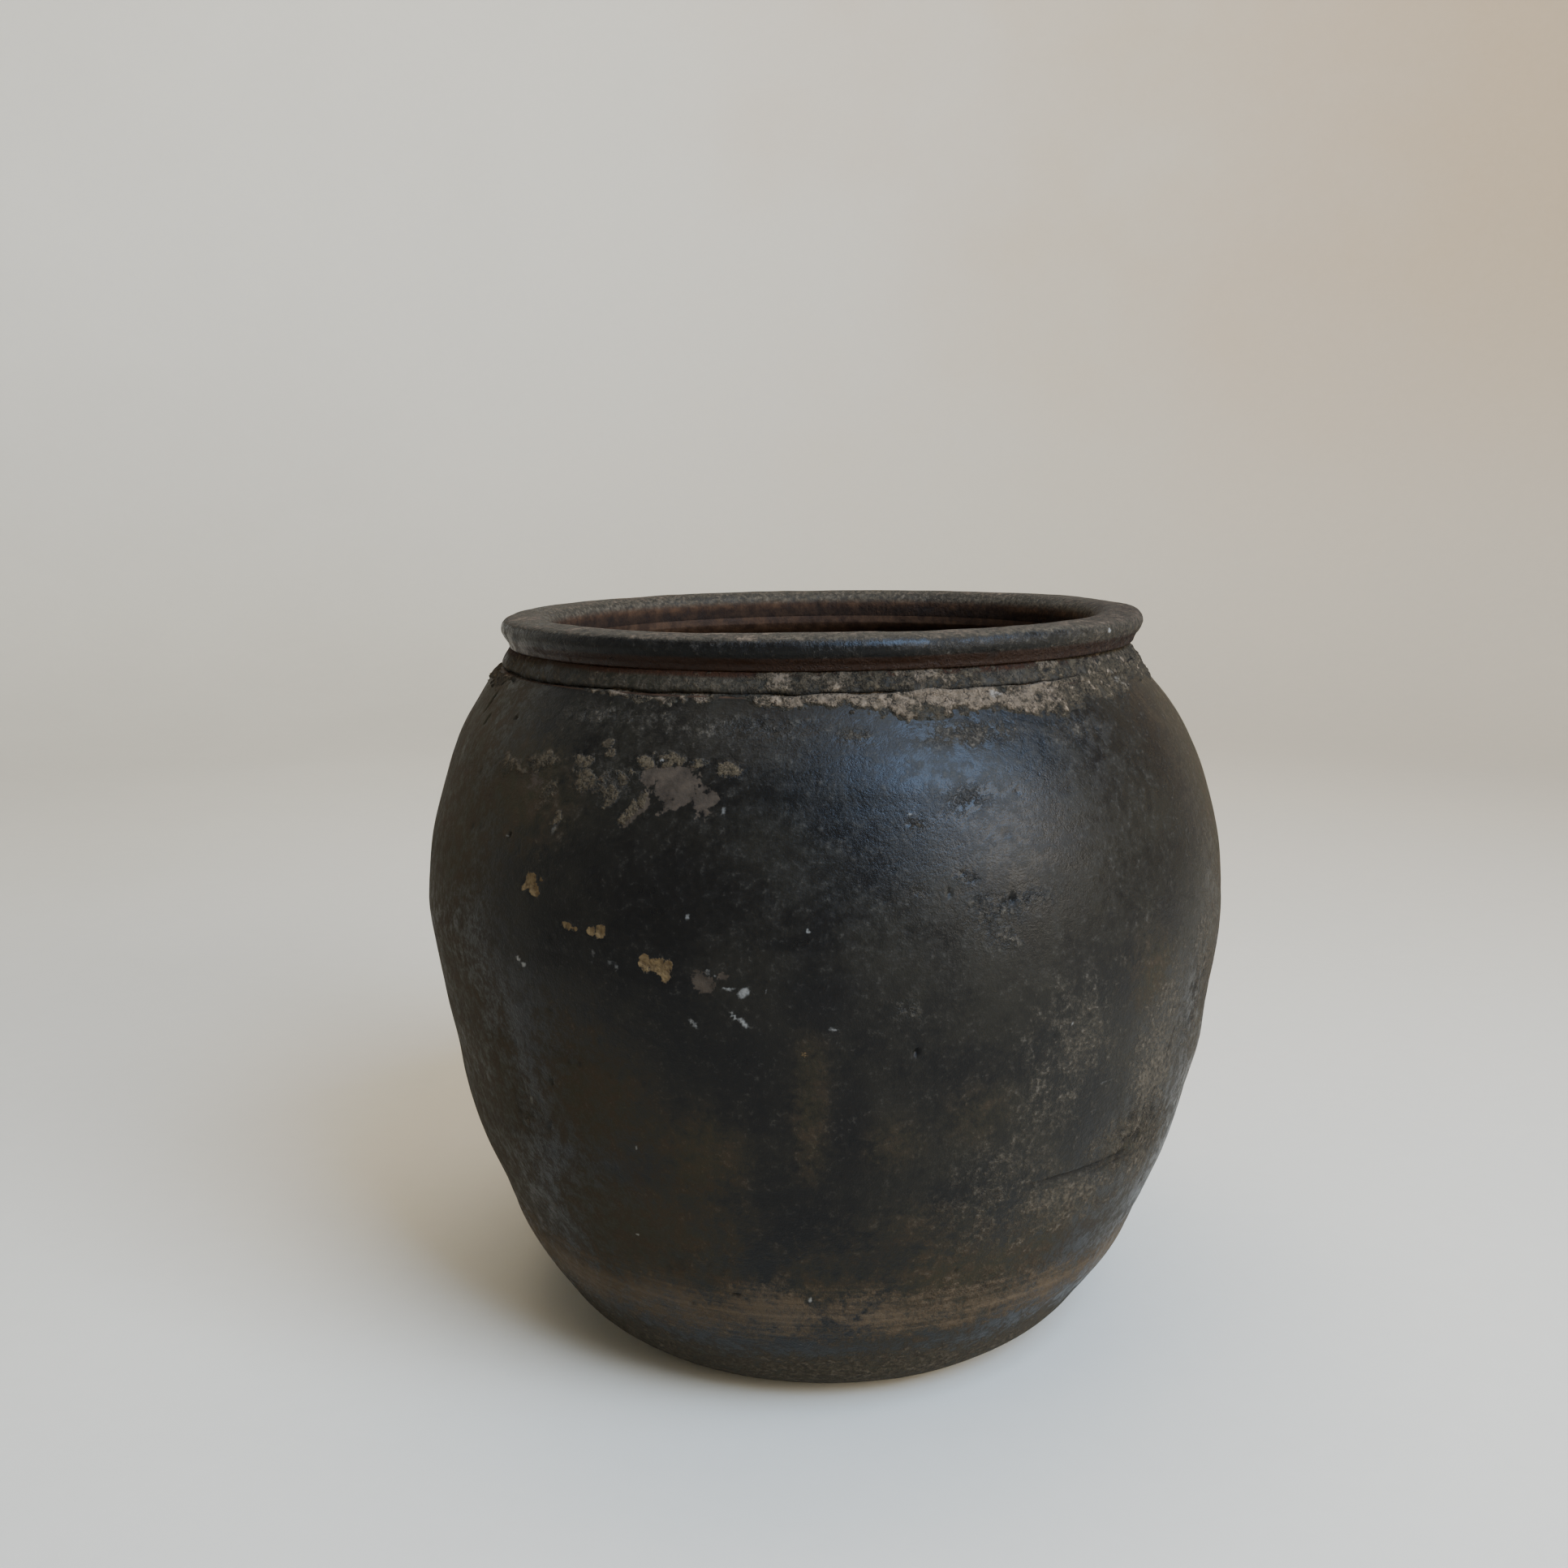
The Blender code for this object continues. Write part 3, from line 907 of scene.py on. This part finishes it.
def luting_skin():
    """The smear of coarse clay in the corner under the collar, with its hidden back."""
    heights = np.linspace(LUTING_FOOT, NECK_HEIGHT, LUTING_ROWS, endpoint=False)
    sunk = 0.003 * (1.0 - smooth_step((heights - LUTING_FOOT) / 0.004))
    front = np.stack((outline(heights) - sunk, heights), axis=1)
    up = bend((outline(NECK_HEIGHT), NECK_HEIGHT), LUTING_CORNER, LUTING_TOP, LUTING_UP_ROWS)
    skin = Skin(np.concatenate((front, up, np.array(LUTING_BACK))), closed=True)
    even = skin.even
    low, high, depth, buff = (by_bearing(LUTING, column) for column in (1, 2, 3, 4))
    height = skin.height[:, None] / MM
    wander = 3.0 * lumps(even * (1, 1, 0), 0.020, 51) + 1.6 * lumps(even, 0.007, 52)
    pebbles = dimples(even, *LUTING_PEBBLES)
    holes = dimples(even, *LUTING_HOLES)
    gaps = smooth_step((0.30 - pebbles) / 0.30)
    crumbs = rough(even, 0.008, 4, 53)
    over = smooth_step((height - low - wander) / 6.0 + 0.35 * skin.fray + 0.7 * (pebbles - 0.35))
    present = over * smooth_step((high + 0.4 * wander - height) / 1.6)
    thick = depth * (0.45 + 0.85 * crumbs) + 0.65 * pebbles - 0.8 * holes
    proud = present * np.maximum(thick, 0.12) - 0.75 * (1.0 - present)
    proud[: len(front)] += hand_shape(skin, slice(0, len(front)))
    proud[len(front) + len(up) :] = 0.0
    skin.shape(proud)
    band = smooth_step((height - low - 3.0 - 1.5 * wander) / 5.0 + 0.9 * crumbs)
    patches = clamped(0.55 + 1.1 * rough(even * (1, 1, 1.6), 0.022, 3, 57))
    skin.keep(
        crust=0.1 + band * (0.55 + 0.45 * patches),
        buff=band * buff * (0.5 + 0.9 * patches) - 0.3 * gaps,
        worn=0.25 + 0.75 * band,
        warm=0.3 + 0.7 * band,
        # Painted shade in the holes and in the gaps between the pebbles.
        hollow=holes - 0.2 + 0.6 * gaps,
        torn=1.0,
        pale=np.clip(1.6 * rough(even, 0.012, 3, 56) - 0.75, 0.0, 0.6) * band,
    )
    return skin


def collar_skin():
    """The coil round the neck: smooth on the left, coarse in front, and sunk under luting on the right."""
    skin = Skin(curve_through(COLLAR_SECTION, LIP_STEP), closed=True)
    even = skin.even
    coarse = by_bearing(COLLAR, 1)
    bulge = by_bearing(COLLAR, 2)
    outer = smooth_step((skin.radius[:, None] - 0.1585) / 0.003)
    lower = skin.below(COLLAR_FOOT + 0.0030, 0.003)
    upper = skin.above(COLLAR_FOOT + 0.0060, 0.003)
    crumbs = rough(even, 0.006, 3, 61)
    grit = dimples(even, *COLLAR_GRIT)
    holes = dimples(even, *COLLAR_HOLES)
    proud = uneven(even, COLLAR_NOISE) + 0.06 * skin.fray
    proud += coarse * (0.75 * crumbs + 0.4 * grit - 0.9 * holes)
    proud += lower * (0.5 * lumps(even * (1, 1, 0), 0.013, 65) + 0.35 * skin.fray)
    skin.shape((np.clip(proud, *COLLAR_ROUGHNESS) - (1.0 - bulge) * COLLAR_SINK) * outer)
    gaps = smooth_step((0.25 - grit) / 0.25)
    patches = clamped(0.5 + 1.2 * rough(even, 0.020, 3, 69))
    skin.keep(
        crust=coarse * (0.35 + 0.6 * patches + 0.5 * crumbs),
        buff=coarse * (patches - 0.45) * 0.9,
        bare=0.25 * coarse + 0.3 * rough(even, 0.03, 2, 66),
        worn=0.35 + 0.65 * coarse,
        warm=0.45 + 0.6 * upper + 0.3 * rough(even, 0.05, 2, 67),
        rust=upper * clamped(0.9 + 0.6 * rough(even, 0.05, 2, 68)),
        # Painted shade in the holes and gaps, and along the collar's foot over the crack.
        hollow=coarse * (holes + 0.6 * gaps) + 0.8 * lower,
        torn=0.1 + 0.9 * coarse,
    )
    return skin


def lip_skin():
    """The rolled lip, smoothed by a wet hand, with the neck's throat running up into it."""
    skin = Skin(curve_through(LIP_SECTION, LIP_STEP), closed=True)
    even = skin.even
    height = skin.height[:, None]
    radius = skin.radius[:, None]
    nicks = dimples(even, *LIP_NICKS)
    grit = dimples(even, *LIP_GRIT)
    coarse = np.clip(by_bearing(COLLAR, 1) - 0.55, 0.0, 0.4) * skin.below(0.3680, 0.004)
    right = near_bearing(*LIP_ROUGH)
    notch = skin.below(LIP_HEIGHT - 0.0105, 0.002) * smooth_step((radius - 0.157) / 0.002)
    proud = uneven(even, LIP_NOISE)
    proud += coarse * (0.6 * skin.fray + 0.5 * grit) - 0.45 * nicks
    proud += right * (0.25 * skin.fray + 0.3 * grit - NOTCH * notch)
    skin.shape(proud * skin.above(NECK_TOP + 0.0005, 0.003))
    on_top = skin.above(LIP_HEIGHT - 0.0030, 0.0022)
    under = skin.below(LIP_HEIGHT - 0.0080, 0.003)
    throat = smooth_step((THROAT_RADIUS + 0.0035 - radius) / 0.003)
    left = near_bearing(*LIP_SOOTY) * (1.0 - on_top)
    dot = np.hypot(turned_from(LIP_DOT) / 0.55, (height - LIP_HEIGHT + 0.0052) / 0.0012)
    mottle = rough(even, 0.035, 3, 76)
    skin.keep(
        worn=0.12 + 0.6 * on_top + 0.7 * right + 0.8 * throat + 0.25 * mottle,
        soot=left * (1.0 - throat),
        warm=0.45 * on_top + 0.6 * right + 0.35 * throat + 0.3 * mottle,
        crust=0.7 * coarse * grit + 0.5 * right * grit,
        bare=0.45 * on_top * (0.7 + mottle) + 0.4 * right,
        buff=0.14 * on_top * (1.0 + mottle),
        pale=smooth_step(1.6 - dot) * (1.0 - throat),
        rust=0.8 * under * (1.0 - throat),
        inside=throat * skin.below(LIP_HEIGHT - 0.003, 0.006),
        # Painted shade in the nicks and under the lip.
        hollow=nicks + 0.7 * under,
        torn=0.8 * right + 1.2 * coarse,
    )
    return skin


# ---- Pieces


def placed(name, data):
    """A new object in the scene."""
    thing = bpy.data.objects.new(name, data)
    bpy.context.scene.collection.objects.link(thing)
    return thing


def ring_faces(count, closed):
    """Corners of all faces, and where each face starts, for that many rows of points.

    The last row joins the first, or else each of the two is filled with a flat disc.
    """
    row = np.arange(count if closed else count - 1)[:, None]
    turn = np.arange(TURNS)[None, :]
    right = (turn + 1) % TURNS
    start = row * TURNS
    end = (row + 1) % count * TURNS
    corners = np.stack((start + turn, start + right, end + right, end + turn), axis=-1).ravel()
    starts = np.arange(0, corners.size, 4)
    if not closed:
        starts = np.append(starts, (corners.size, corners.size + TURNS))
        corners = np.concatenate((corners, np.arange(TURNS)[::-1], np.arange(TURNS) + (count - 1) * TURNS))
    return corners, starts


def piece_of(name, node, skin, rows, material, closed=True):
    """A piece from those rows of a skin, with the skin's normals and marks, in place of a CAD node."""
    corners, starts = ring_faces(len(rows), closed)
    mesh = bpy.data.meshes.new(name)
    mesh.vertices.add(len(rows) * TURNS)
    mesh.vertices.foreach_set("co", skin.points[rows].astype(np.float32).ravel())
    mesh.loops.add(corners.size)
    mesh.loops.foreach_set("vertex_index", corners.astype(np.int32))
    mesh.polygons.add(starts.size)
    mesh.polygons.foreach_set("loop_start", starts.astype(np.int32))
    mesh.update(calc_edges=True)
    mesh.shade_smooth()
    for mark, values in skin.marks.items():
        layer = mesh.attributes.new(mark, "FLOAT", "POINT")
        layer.data.foreach_set("value", values[rows].astype(np.float32).ravel())
    mesh.normals_split_custom_set_from_vertices(skin.normals[rows].reshape(-1, 3).tolist())
    mesh.materials.append(material)
    piece = placed(name, mesh)
    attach(piece, "root")
    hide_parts(node)


def wall_pieces(skin, material):
    """The base slab and the six courses, each from its share of the outside and of the inside."""
    end = len(skin.height)
    for i, (name, _) in enumerate(COURSES):
        if name == "base_slab":
            rows = np.r_[0 : skin.starts[1] + 1, skin.laps[0] : end]
        elif name == "shoulder_course":
            rows = np.arange(skin.starts[i], skin.laps[i - 1] + 1)
        else:
            rows = np.r_[skin.starts[i] : skin.starts[i + 1] + 1, skin.laps[i] : skin.laps[i - 1] + 1]
        piece_of(name + "_clay", name, skin, rows, material, closed=name != "base_slab")


def ring_piece(node, skin, material):
    piece_of(node + "_clay", node, skin, np.arange(len(skin.height)), material)


# ---- Material

# Soot black is also the colour of the painted shade in the hollows.
SOOT_AND_SHADE_BLACK = (0.0034, 0.0031, 0.0027)
SMOKE_BLACK = (0.0086, 0.0075, 0.0050)
WEATHERED = (0.0180, 0.0165, 0.0122)
OLIVE = (0.0165, 0.0138, 0.0056)
UMBER = (0.0240, 0.0163, 0.0085)
WORN_GREY = (0.0530, 0.0425, 0.0285)
WORN_DARK = (0.0170, 0.0145, 0.0105)
DUST = (0.0950, 0.0860, 0.0700)
FOOT_BROWN = (0.0900, 0.0650, 0.0400)
BARE_DARK = (0.0180, 0.0134, 0.0090)
BARE_LIGHT = (0.0400, 0.0300, 0.0205)
CRUST_DARK = (0.0170, 0.0128, 0.0070)
CRUST_BROWN = (0.0500, 0.0385, 0.0230)
BUFF_DARK = (0.0660, 0.0500, 0.0320)
BUFF_LIGHT = (0.1250, 0.0930, 0.0620)
TAN_DARK = (0.0500, 0.0320, 0.0140)
TAN_LIGHT = (0.1050, 0.0710, 0.0320)
LIME = (0.1600, 0.1550, 0.1400)
RUST = (0.0260, 0.0105, 0.0045)
INSIDE_DARK = (0.0180, 0.0095, 0.0055)
INSIDE_BROWN = (0.0450, 0.0235, 0.0120)
# How noise tears each mark: which noise, how strongly, and where the torn mark starts and is full.
FRAYING = {
    "worn": ("scuffs", 1.8, 0.90, 1.85),
    "warm": ("clouded", 1.8, 0.50, 1.75),
    "soot": ("cloud", 1.2, 0.15, 0.95),
    "scrape": ("stroked", 1.8, 0.35, 1.15),
    "bare": ("tear", 2.0, 0.42, 0.62),
    "crust": ("tear", 2.4, 0.30, 0.75),
    "buff": ("tear", 1.5, 0.10, 0.75),
    "chip": ("tear", 1.5, 0.26, 0.42),
    "pale": ("tear", 1.8, 0.25, 0.85),
    "rust": ("mottle", 0.6, 0.2, 0.9),
}
SHEEN = 0.13
RELIEF_STRENGTH = 0.62
RELIEF_HEIGHT = 0.0010


class Nodes:
    """Short names for the nodes that a material is made of."""

    def __init__(self, name):
        self.material = bpy.data.materials.new(name)
        self.material.use_nodes = True
        self.tree = self.material.node_tree
        self.shader = self.tree.nodes["Principled BSDF"]
        self.place = self.node("ShaderNodeTexCoord").outputs["Object"]

    def node(self, kind, inputs=(), **settings):
        """A new node, with its settings made and its inputs, by name or number, filled."""
        node = self.tree.nodes.new(kind)
        for name, value in settings.items():
            setattr(node, name, value)
        for key, value in dict(inputs).items():
            self.fill(node.inputs[key], value)
        return node

    def fill(self, socket, value):
        """Links a socket to another one, or sets it to a number, a vector or a colour."""
        if isinstance(value, bpy.types.NodeSocket):
            self.tree.links.new(value, socket)
        elif socket.type == "RGBA":
            socket.default_value = (*value, 1.0)
        else:
            socket.default_value = value

    def mark(self, name):
        return self.node("ShaderNodeAttribute", attribute_name=name).outputs["Fac"]

    def noise(self, scale, detail, roughness=0.6, stretch=None):
        place = self.place
        if stretch is not None:
            place = self.node("ShaderNodeMapping", {"Scale": stretch, "Vector": place}).outputs["Vector"]
        inputs = {"Vector": place, "Scale": scale, "Detail": detail, "Roughness": roughness}
        return self.node("ShaderNodeTexNoise", inputs).outputs["Fac"]

    def sum(self, first, *terms):
        """The first value plus each term, which is a value and how many times it counts."""
        for value, times in terms:
            node = self.node("ShaderNodeMath", {0: value, 1: times, 2: first}, operation="MULTIPLY_ADD")
            first = node.outputs["Value"]
        return first

    def product(self, first, second):
        return self.node("ShaderNodeMath", {0: first, 1: second}, operation="MULTIPLY").outputs["Value"]

    def between(self, value, low, high, start=0.0, end=1.0):
        """The value carried smoothly from low..high to start..end."""
        inputs = {"Value": value, "From Min": low, "From Max": high, "To Min": start, "To Max": end}
        return self.node("ShaderNodeMapRange", inputs, interpolation_type="SMOOTHSTEP").outputs["Result"]

    def blend(self, share, first, second):
        return self.node("ShaderNodeMix", {0: share, 6: first, 7: second}, data_type="RGBA").outputs[2]

    def tones(self, value, low, high, first, second):
        """One colour up to low, the other from high, and a blend between them."""
        return self.blend(self.between(value, low, high), first, second)

    def frayed(self, name, noise, fraying, low, high):
        """A mark, torn up by noise where it is between none and full."""
        mark = self.mark(name)
        torn = self.between(self.sum(mark, (noise, fraying), (-0.5, fraying)), low, high)
        return self.product(torn, self.between(mark, 0.0, 0.25))


class Clay(Nodes):
    """The noises, and the marks torn by them, that the clay's colour, gloss and relief are made of."""

    def __init__(self):
        super().__init__("smoked_clay")
        self.cloud = self.noise(24.0, 6.0, 0.62)
        self.mottle = self.noise(140.0, 6.0, 0.68)
        self.flecks = self.noise(420.0, 4.0)
        self.grain = self.noise(1100.0, 3.0)
        self.strokes = self.noise(1.0, 4.0, stretch=(7.0, 7.0, 420.0))
        self.drags = self.noise(1.0, 4.0, stretch=(320.0, 320.0, 22.0))
        self.tear = self.sum(self.mottle, (self.flecks, 0.6), (self.grain, 0.3), (-0.45, 1.0))
        self.scuffs = self.sum(self.tear, (self.drags, 0.4), (self.cloud, 0.6))
        self.clouded = self.sum(self.tear, (self.cloud, 0.8))
        self.stroked = self.sum(self.tear, (self.strokes, 0.35))
        for name, (noise, *limits) in FRAYING.items():
            setattr(self, name, self.frayed(name, getattr(self, noise), *limits))
        self.torn = self.mark("torn")
        self.crack = self.cracks()
        self.inside = self.between(self.mark("inside"), 0.0, 1.0)
        self.dust = self.between(self.sum(self.flecks, (self.mottle, 0.6), (self.grain, 0.5)), 1.12, 1.40)
        self.crumb = self.between(self.sum(self.mottle, (self.flecks, 1.5), (self.grain, 1.2)), 1.50, 2.15)

    def cracks(self):
        """Thin winding cracks in torn clay, where a noise passes its middle."""
        middle = self.sum(self.noise(120.0, 4.0), (-0.5, 1.0))
        away = self.node("ShaderNodeMath", {0: middle}, operation="ABSOLUTE").outputs["Value"]
        thin = self.between(away, 0.0, 0.020, 1.0, 0.0)
        return self.product(thin, self.between(self.torn, 0.2, 0.8))


def clay_colour(clay):
    """Smoke and soot, and then what lies on them or shows through them, each layer over the last, with
    painted shade in the hollows near the end.
    """
    smoke = clay.sum(clay.cloud, (clay.mottle, 0.45), (clay.flecks, 0.30))
    layers = (
        (clay.product(clay.mark("worn"), 0.6), WEATHERED),
        (clay.warm, clay.tones(clay.mottle, 0.35, 0.65, OLIVE, UMBER)),
        (clay.product(clay.worn, 0.85), clay.tones(clay.flecks, 0.35, 0.65, WORN_DARK, WORN_GREY)),
        (clay.product(clay.scrape, 0.9), clay.blend(clay.strokes, UMBER, FOOT_BROWN)),
        (clay.product(clay.soot, 0.85), SOOT_AND_SHADE_BLACK),
        (clay.product(clay.dust, clay.sum(0.16, (clay.worn, 0.25))), DUST),
        (clay.rust, RUST),
        (clay.inside, clay.tones(clay.mottle, 0.35, 0.7, INSIDE_DARK, INSIDE_BROWN)),
        (clay.bare, clay.tones(clay.mottle, 0.3, 0.7, BARE_DARK, BARE_LIGHT)),
        (clay.crust, clay.blend(clay.crumb, CRUST_DARK, CRUST_BROWN)),
        (clay.buff, clay.blend(clay.crumb, BUFF_DARK, BUFF_LIGHT)),
        (clay.chip, clay.tones(clay.flecks, 0.3, 0.7, TAN_DARK, TAN_LIGHT)),
        (clay.product(clay.pale, clay.mark("pale")), LIME),
        # Painted shade in pits, creases, gaps and under the lip and the collar, in soot black.
        (clay.product(clay.mark("hollow"), 0.7), SOOT_AND_SHADE_BLACK),
        (clay.product(clay.crack, 0.8), SOOT_AND_SHADE_BLACK),
    )
    colour = clay.tones(smoke, 0.68, 1.08, SOOT_AND_SHADE_BLACK, SMOKE_BLACK)
    for share, tone in layers:
        colour = clay.blend(share, colour, tone)
    return colour


def clay_roughness(clay):
    """Burnished where the clay is whole, and dull where it is worn, brown, flaked or crusted."""
    burnished = clay.between(clay.sum(clay.cloud, (clay.mottle, 0.5)), 0.55, 0.95, 0.31, 0.41)
    total = clay.sum(
        burnished,
        (clay.between(clay.tear, 0.40, 0.65), 0.16),
        (clay.soot, -0.06),
        (clay.worn, 0.22),
        (clay.scrape, 0.20),
        (clay.inside, 0.25),
        (clay.warm, 0.34),
        (clay.mark("worn"), 0.08),
        (clay.bare, 0.35),
        (clay.crust, 0.5),
        (clay.chip, 0.5),
    )
    return clay.node("ShaderNodeClamp", {"Value": total}).outputs["Result"]


def clay_relief(clay):
    """Fine grain everywhere, deeper where the clay is torn, worn, scraped or crusted."""
    height = clay.sum(
        clay.product(clay.flecks, 0.34),
        (clay.mottle, 0.42),
        (clay.grain, 0.22),
        (clay.crack, -0.35),
        (clay.product(clay.between(clay.tear, 0.48, 0.60), clay.torn), 0.55),
        (clay.product(clay.flecks, clay.worn), 0.35),
        (clay.product(clay.strokes, clay.sum(0.10, (clay.scrape, 0.8))), 1.0),
        (clay.product(clay.drags, clay.worn), 0.55),
        (clay.product(clay.flecks, clay.sum(clay.crust, (clay.chip, 1.0))), 1.3),
        (clay.product(clay.mottle, clay.crust), 1.2),
    )
    inputs = {"Strength": RELIEF_STRENGTH, "Distance": RELIEF_HEIGHT, "Height": height}
    return clay.node("ShaderNodeBump", inputs).outputs["Normal"]


def clay_material():
    """Smoke-blackened, burnished clay that is brown and dull where it is worn, flaked or crusted."""
    clay = Clay()
    clay.fill(clay.shader.inputs["Base Color"], clay_colour(clay))
    clay.fill(clay.shader.inputs["Roughness"], clay_roughness(clay))
    clay.fill(clay.shader.inputs["Normal"], clay_relief(clay))
    clay.shader.inputs["Specular IOR Level"].default_value = SHEEN
    return clay.material


# ---- Studio

CAMERA_PLACE = (-0.0217, -0.8364, 0.4357)
CAMERA_DOWN = math.radians(10.46)
CAMERA_LENS = 36.07
SENSOR = 36.0
STUDIO_RADIUS = 3.0
STUDIO_BEND = 1.0
STUDIO_HEIGHT = 2.6
STUDIO_TURNS = 96
STUDIO_BEND_ROWS = 16
PLASTER_ROUGHNESS = 0.8
# The backdrop's painted light: cool and bright to the left, warm and darker, in painted shade, to the right.
PLASTER_COOL_LIT = ((0.54, 0.53, 0.47), (0.64, 0.63, 0.57))
PLASTER_WARM_SHADED = ((0.39, 0.30, 0.19), (0.50, 0.40, 0.28))
PLASTER_GROUND = ((0.40, 0.375, 0.305), (0.50, 0.475, 0.40))
BELLY = (0.0, 0.0, 0.2)
# Each soft light: its place, what it points at, size, power in watts, and colour.
LIGHTS = {
    "sky_window": ((0.98, -1.20, 1.75), BELLY, 1.2, 128, (0.43, 0.64, 1.0)),
    "warm_window": ((1.77, -1.46, 1.00), BELLY, 1.2, 74, (1.0, 0.92, 0.79)),
    "ceiling": ((0.0, -0.3, 2.9), BELLY, 2.4, 62, (1.0, 0.87, 0.70)),
    "wall_wash": ((0.0, 0.7, 2.8), (0.0, 3.0, 0.8), 2.0, 60, (1.0, 0.93, 0.84)),
}
AIR_COLOUR = (1.0, 0.95, 0.88, 1.0)
AIR_STRENGTH = 0.02


def plaster_material():
    """Pale, softly clouded plaster for floor and backdrop, with painted light: cool and bright on the left,
    warm and in painted shade on the right.
    """
    plaster = Nodes("pale_plaster")
    cloud = plaster.noise(2.2, 6.0)
    shade = plaster.sum(plaster.product(cloud, 0.7), (plaster.noise(60.0, 5.0, 0.7), 0.3))
    place = plaster.node("ShaderNodeSeparateXYZ", {"Vector": plaster.place}).outputs
    # Painted light and shade: the share of the warm, darker plaster grows towards the right.
    right_shade = plaster.between(plaster.sum(place["X"], (cloud, 1.5)), 0.0, 2.6)
    ground = plaster.between(place["Z"], 0.0, 1.1, 0.75, 0.0)
    wall = plaster.blend(right_shade, plaster.blend(shade, *PLASTER_COOL_LIT), plaster.blend(shade, *PLASTER_WARM_SHADED))
    colour = plaster.blend(ground, wall, plaster.blend(shade, *PLASTER_GROUND))
    plaster.fill(plaster.shader.inputs["Base Color"], colour)
    plaster.shader.inputs["Roughness"].default_value = PLASTER_ROUGHNESS
    return plaster.material


def studio():
    """A round floor that curves up into a plain wall on every side, so that every view has one backdrop."""
    edge = (STUDIO_RADIUS - STUDIO_BEND, 0.0)
    wall_foot = (STUDIO_RADIUS, STUDIO_BEND)
    curve = bend(edge, (STUDIO_RADIUS, 0.0), wall_foot, STUDIO_BEND_ROWS)
    section = [*map(tuple, curve), wall_foot, (STUDIO_RADIUS, STUDIO_HEIGHT)]
    points = [(0.0, 0.0, 0.0)]
    for radius, height in section:
        for turn in range(STUDIO_TURNS):
            angle = math.tau * turn / STUDIO_TURNS
            points.append((radius * math.cos(angle), radius * math.sin(angle), height))
    faces = [(0, 1 + turn, 1 + (turn + 1) % STUDIO_TURNS) for turn in range(STUDIO_TURNS)]
    for row in range(len(section) - 1):
        start = 1 + row * STUDIO_TURNS
        above = start + STUDIO_TURNS
        for turn in range(STUDIO_TURNS):
            right = (turn + 1) % STUDIO_TURNS
            faces.append((start + turn, above + turn, above + right, start + right))
    mesh = bpy.data.meshes.new("studio_floor")
    mesh.from_pydata(points, [], faces)
    mesh.shade_smooth()
    mesh.materials.append(plaster_material())
    floor = placed("studio_floor", mesh)


def soft_light(name, place, aim, size, power, colour):
    """A square soft light."""
    data = bpy.data.lights.new(name, "AREA")
    data.shape = "SQUARE"
    data.size = size
    data.energy = power
    data.color = colour
    light = placed(name, data)
    light.location = place
    light.rotation_euler = (Vector(aim) - Vector(place)).to_track_quat("-Z", "Y").to_euler()


def lights():
    for name, settings in LIGHTS.items():
        soft_light(name, *settings)
    world = bpy.data.worlds.new("studio_air")
    world.use_nodes = True
    background = world.node_tree.nodes["Background"]
    background.inputs["Color"].default_value = AIR_COLOUR
    background.inputs["Strength"].default_value = AIR_STRENGTH
    bpy.context.scene.world = world


def camera():
    data = bpy.data.cameras.new("camera")
    data.sensor_width = SENSOR
    data.lens = CAMERA_LENS
    view = placed("camera", data)
    view.location = CAMERA_PLACE
    view.rotation_euler = (math.radians(90) - CAMERA_DOWN, 0.0, 0.0)
    bpy.context.scene.camera = view


def build():
    camera()
    lights()
    studio()
    material = clay_material()
    wall = wall_skin()
    shape_wall(wall)
    wall_pieces(wall, material)
    ring_piece("neck_luting", luting_skin(), material)
    ring_piece("neck_collar", collar_skin(), material)
    ring_piece("rim_lip", lip_skin(), material)


build()
